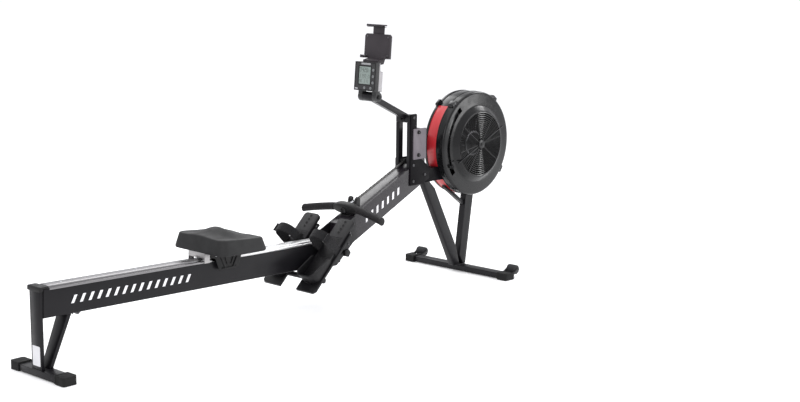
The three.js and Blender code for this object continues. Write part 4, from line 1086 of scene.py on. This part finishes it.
shell_side = [(1634, 866.5), (1654.5, 866.5), (1655.2, 944), (1641, 950), (1637.6, 982.5), (1634, 982.5)]
sides = [extruded(shell_side, *side_span(sign, 58.6, 60.2), on_console) for sign in (-1, 1)]
piece("console_side_shells", sides, shell_silver, "console", 0.0008)
BACK_X = 1655.8
ribs = [block((BACK_X, -40, z), (BACK_X + 1.6, 40, z + 3), on_console) for z in range(878, 940, 8)]
ribs.append(block((BACK_X, -44, 872), (BACK_X + 1, 44, 943), on_console))
piece("console_back_ribs", ribs, plastic, "console", 0.0004)
back = on_console(1, 0, 0) - on_console(0, 0, 0)
screws = [bolt(on_console(BACK_X, y, z), back, 3.4, 1.8) for y in (-51, 51) for z in (873, 938)]
screws += [bolt(on_console(1675.8, y, z), -back, 3.6, 1.8) for y in (-58, 58) for z in (1012, 1090)]
piece("console_screws", screws, dark_metal, "console")
lip_pad = [(1650.6, 1005.2), (1674, 1005.2), (1674, 1006.8), (1650.6, 1006.8)]
pads = [extruded(lip_pad, *side_span(s, 51, 70), on_console) for s in (-1, 1)]
piece("phone_lip_pads", pads, rubber, "console", 0.0003)
clamp_pad = block((1652.6, -41, 1129.6), (1682, 41, 1131.8), on_console)
piece("phone_clamp_pad", clamp_pad, rubber, "clamp", 0.0003)
cap = [(0, 5), (5, 5), (8, 4), (9.5, 2), (9.5, -1), (0, -1)]
knobs = [spin(cap, at(TILT_X, s * 52.4, TILT_Z), (0, s, 0), 24) for s in (-1, 1)]
piece("console_pivot_caps", knobs, plastic, "console")


# ---------------- floor, light
FLOOR_HALF = 40


def add_floor():
    mesh = bpy.data.meshes.new("floor")
    h = FLOOR_HALF
    mesh.from_pydata([(-h, -h, 0), (h, -h, 0), (h, h, 0), (-h, h, 0)], [], [(0, 1, 2, 3)])
    floor = add_object("floor", mesh)
    look = Look("pale_floor", (0.95, 0.95, 0.952), 0.6)
    look.mottle(0.006, 1.5)
    put(look.shader, {"Emission Color": (1, 1, 1, 1), "Emission Strength": 0.12})
    mesh.materials.append(look.done())


add_floor()


def area_light(name, location, target, size, power):
    """A rectangle of light: metres, and watts."""
    light = bpy.data.lights.new(name, "AREA")
    light.shape, light.size, light.size_y = "RECTANGLE", size[0], size[1]
    light.energy = power
    obj = add_object(name, light)
    obj.location = location
    obj.rotation_euler = (Vector(target) - Vector(location)).to_track_quat("-Z", "Y").to_euler()


world = bpy.data.worlds.new("studio")
world.use_nodes = True
put(world.node_tree.nodes["Background"], {"Color": (0.97, 0.975, 1.0, 1), "Strength": 1.0})
bpy.context.scene.world = world
area_light("overhead", (0.0, 0.2, 3.4), (0, 0, 0), (4.5, 3.0), 60)
area_light("key", (-3.2, -2.8, 2.6), (0.2, 0, 0.4), (2.2, 2.2), 45)
area_light("side", (2.6, -3.4, 1.8), (0.6, 0, 0.5), (1.6, 2.4), 13)
area_light("fan_gloss", (3.3, -2.6, 0.95), (1.0, 0, 0.6), (1.2, 0.9), 22)
area_light("grille_gloss", (3.9, -0.55, 2.85), (1.03, 0, 0.59), (1.5, 1.2), 45)
area_light("back", (1.6, 2.4, 2.8), (0.4, 0, 0.4), (1.8, 1.8), 32)
bpy.context.scene.view_settings.view_transform = "Standard"
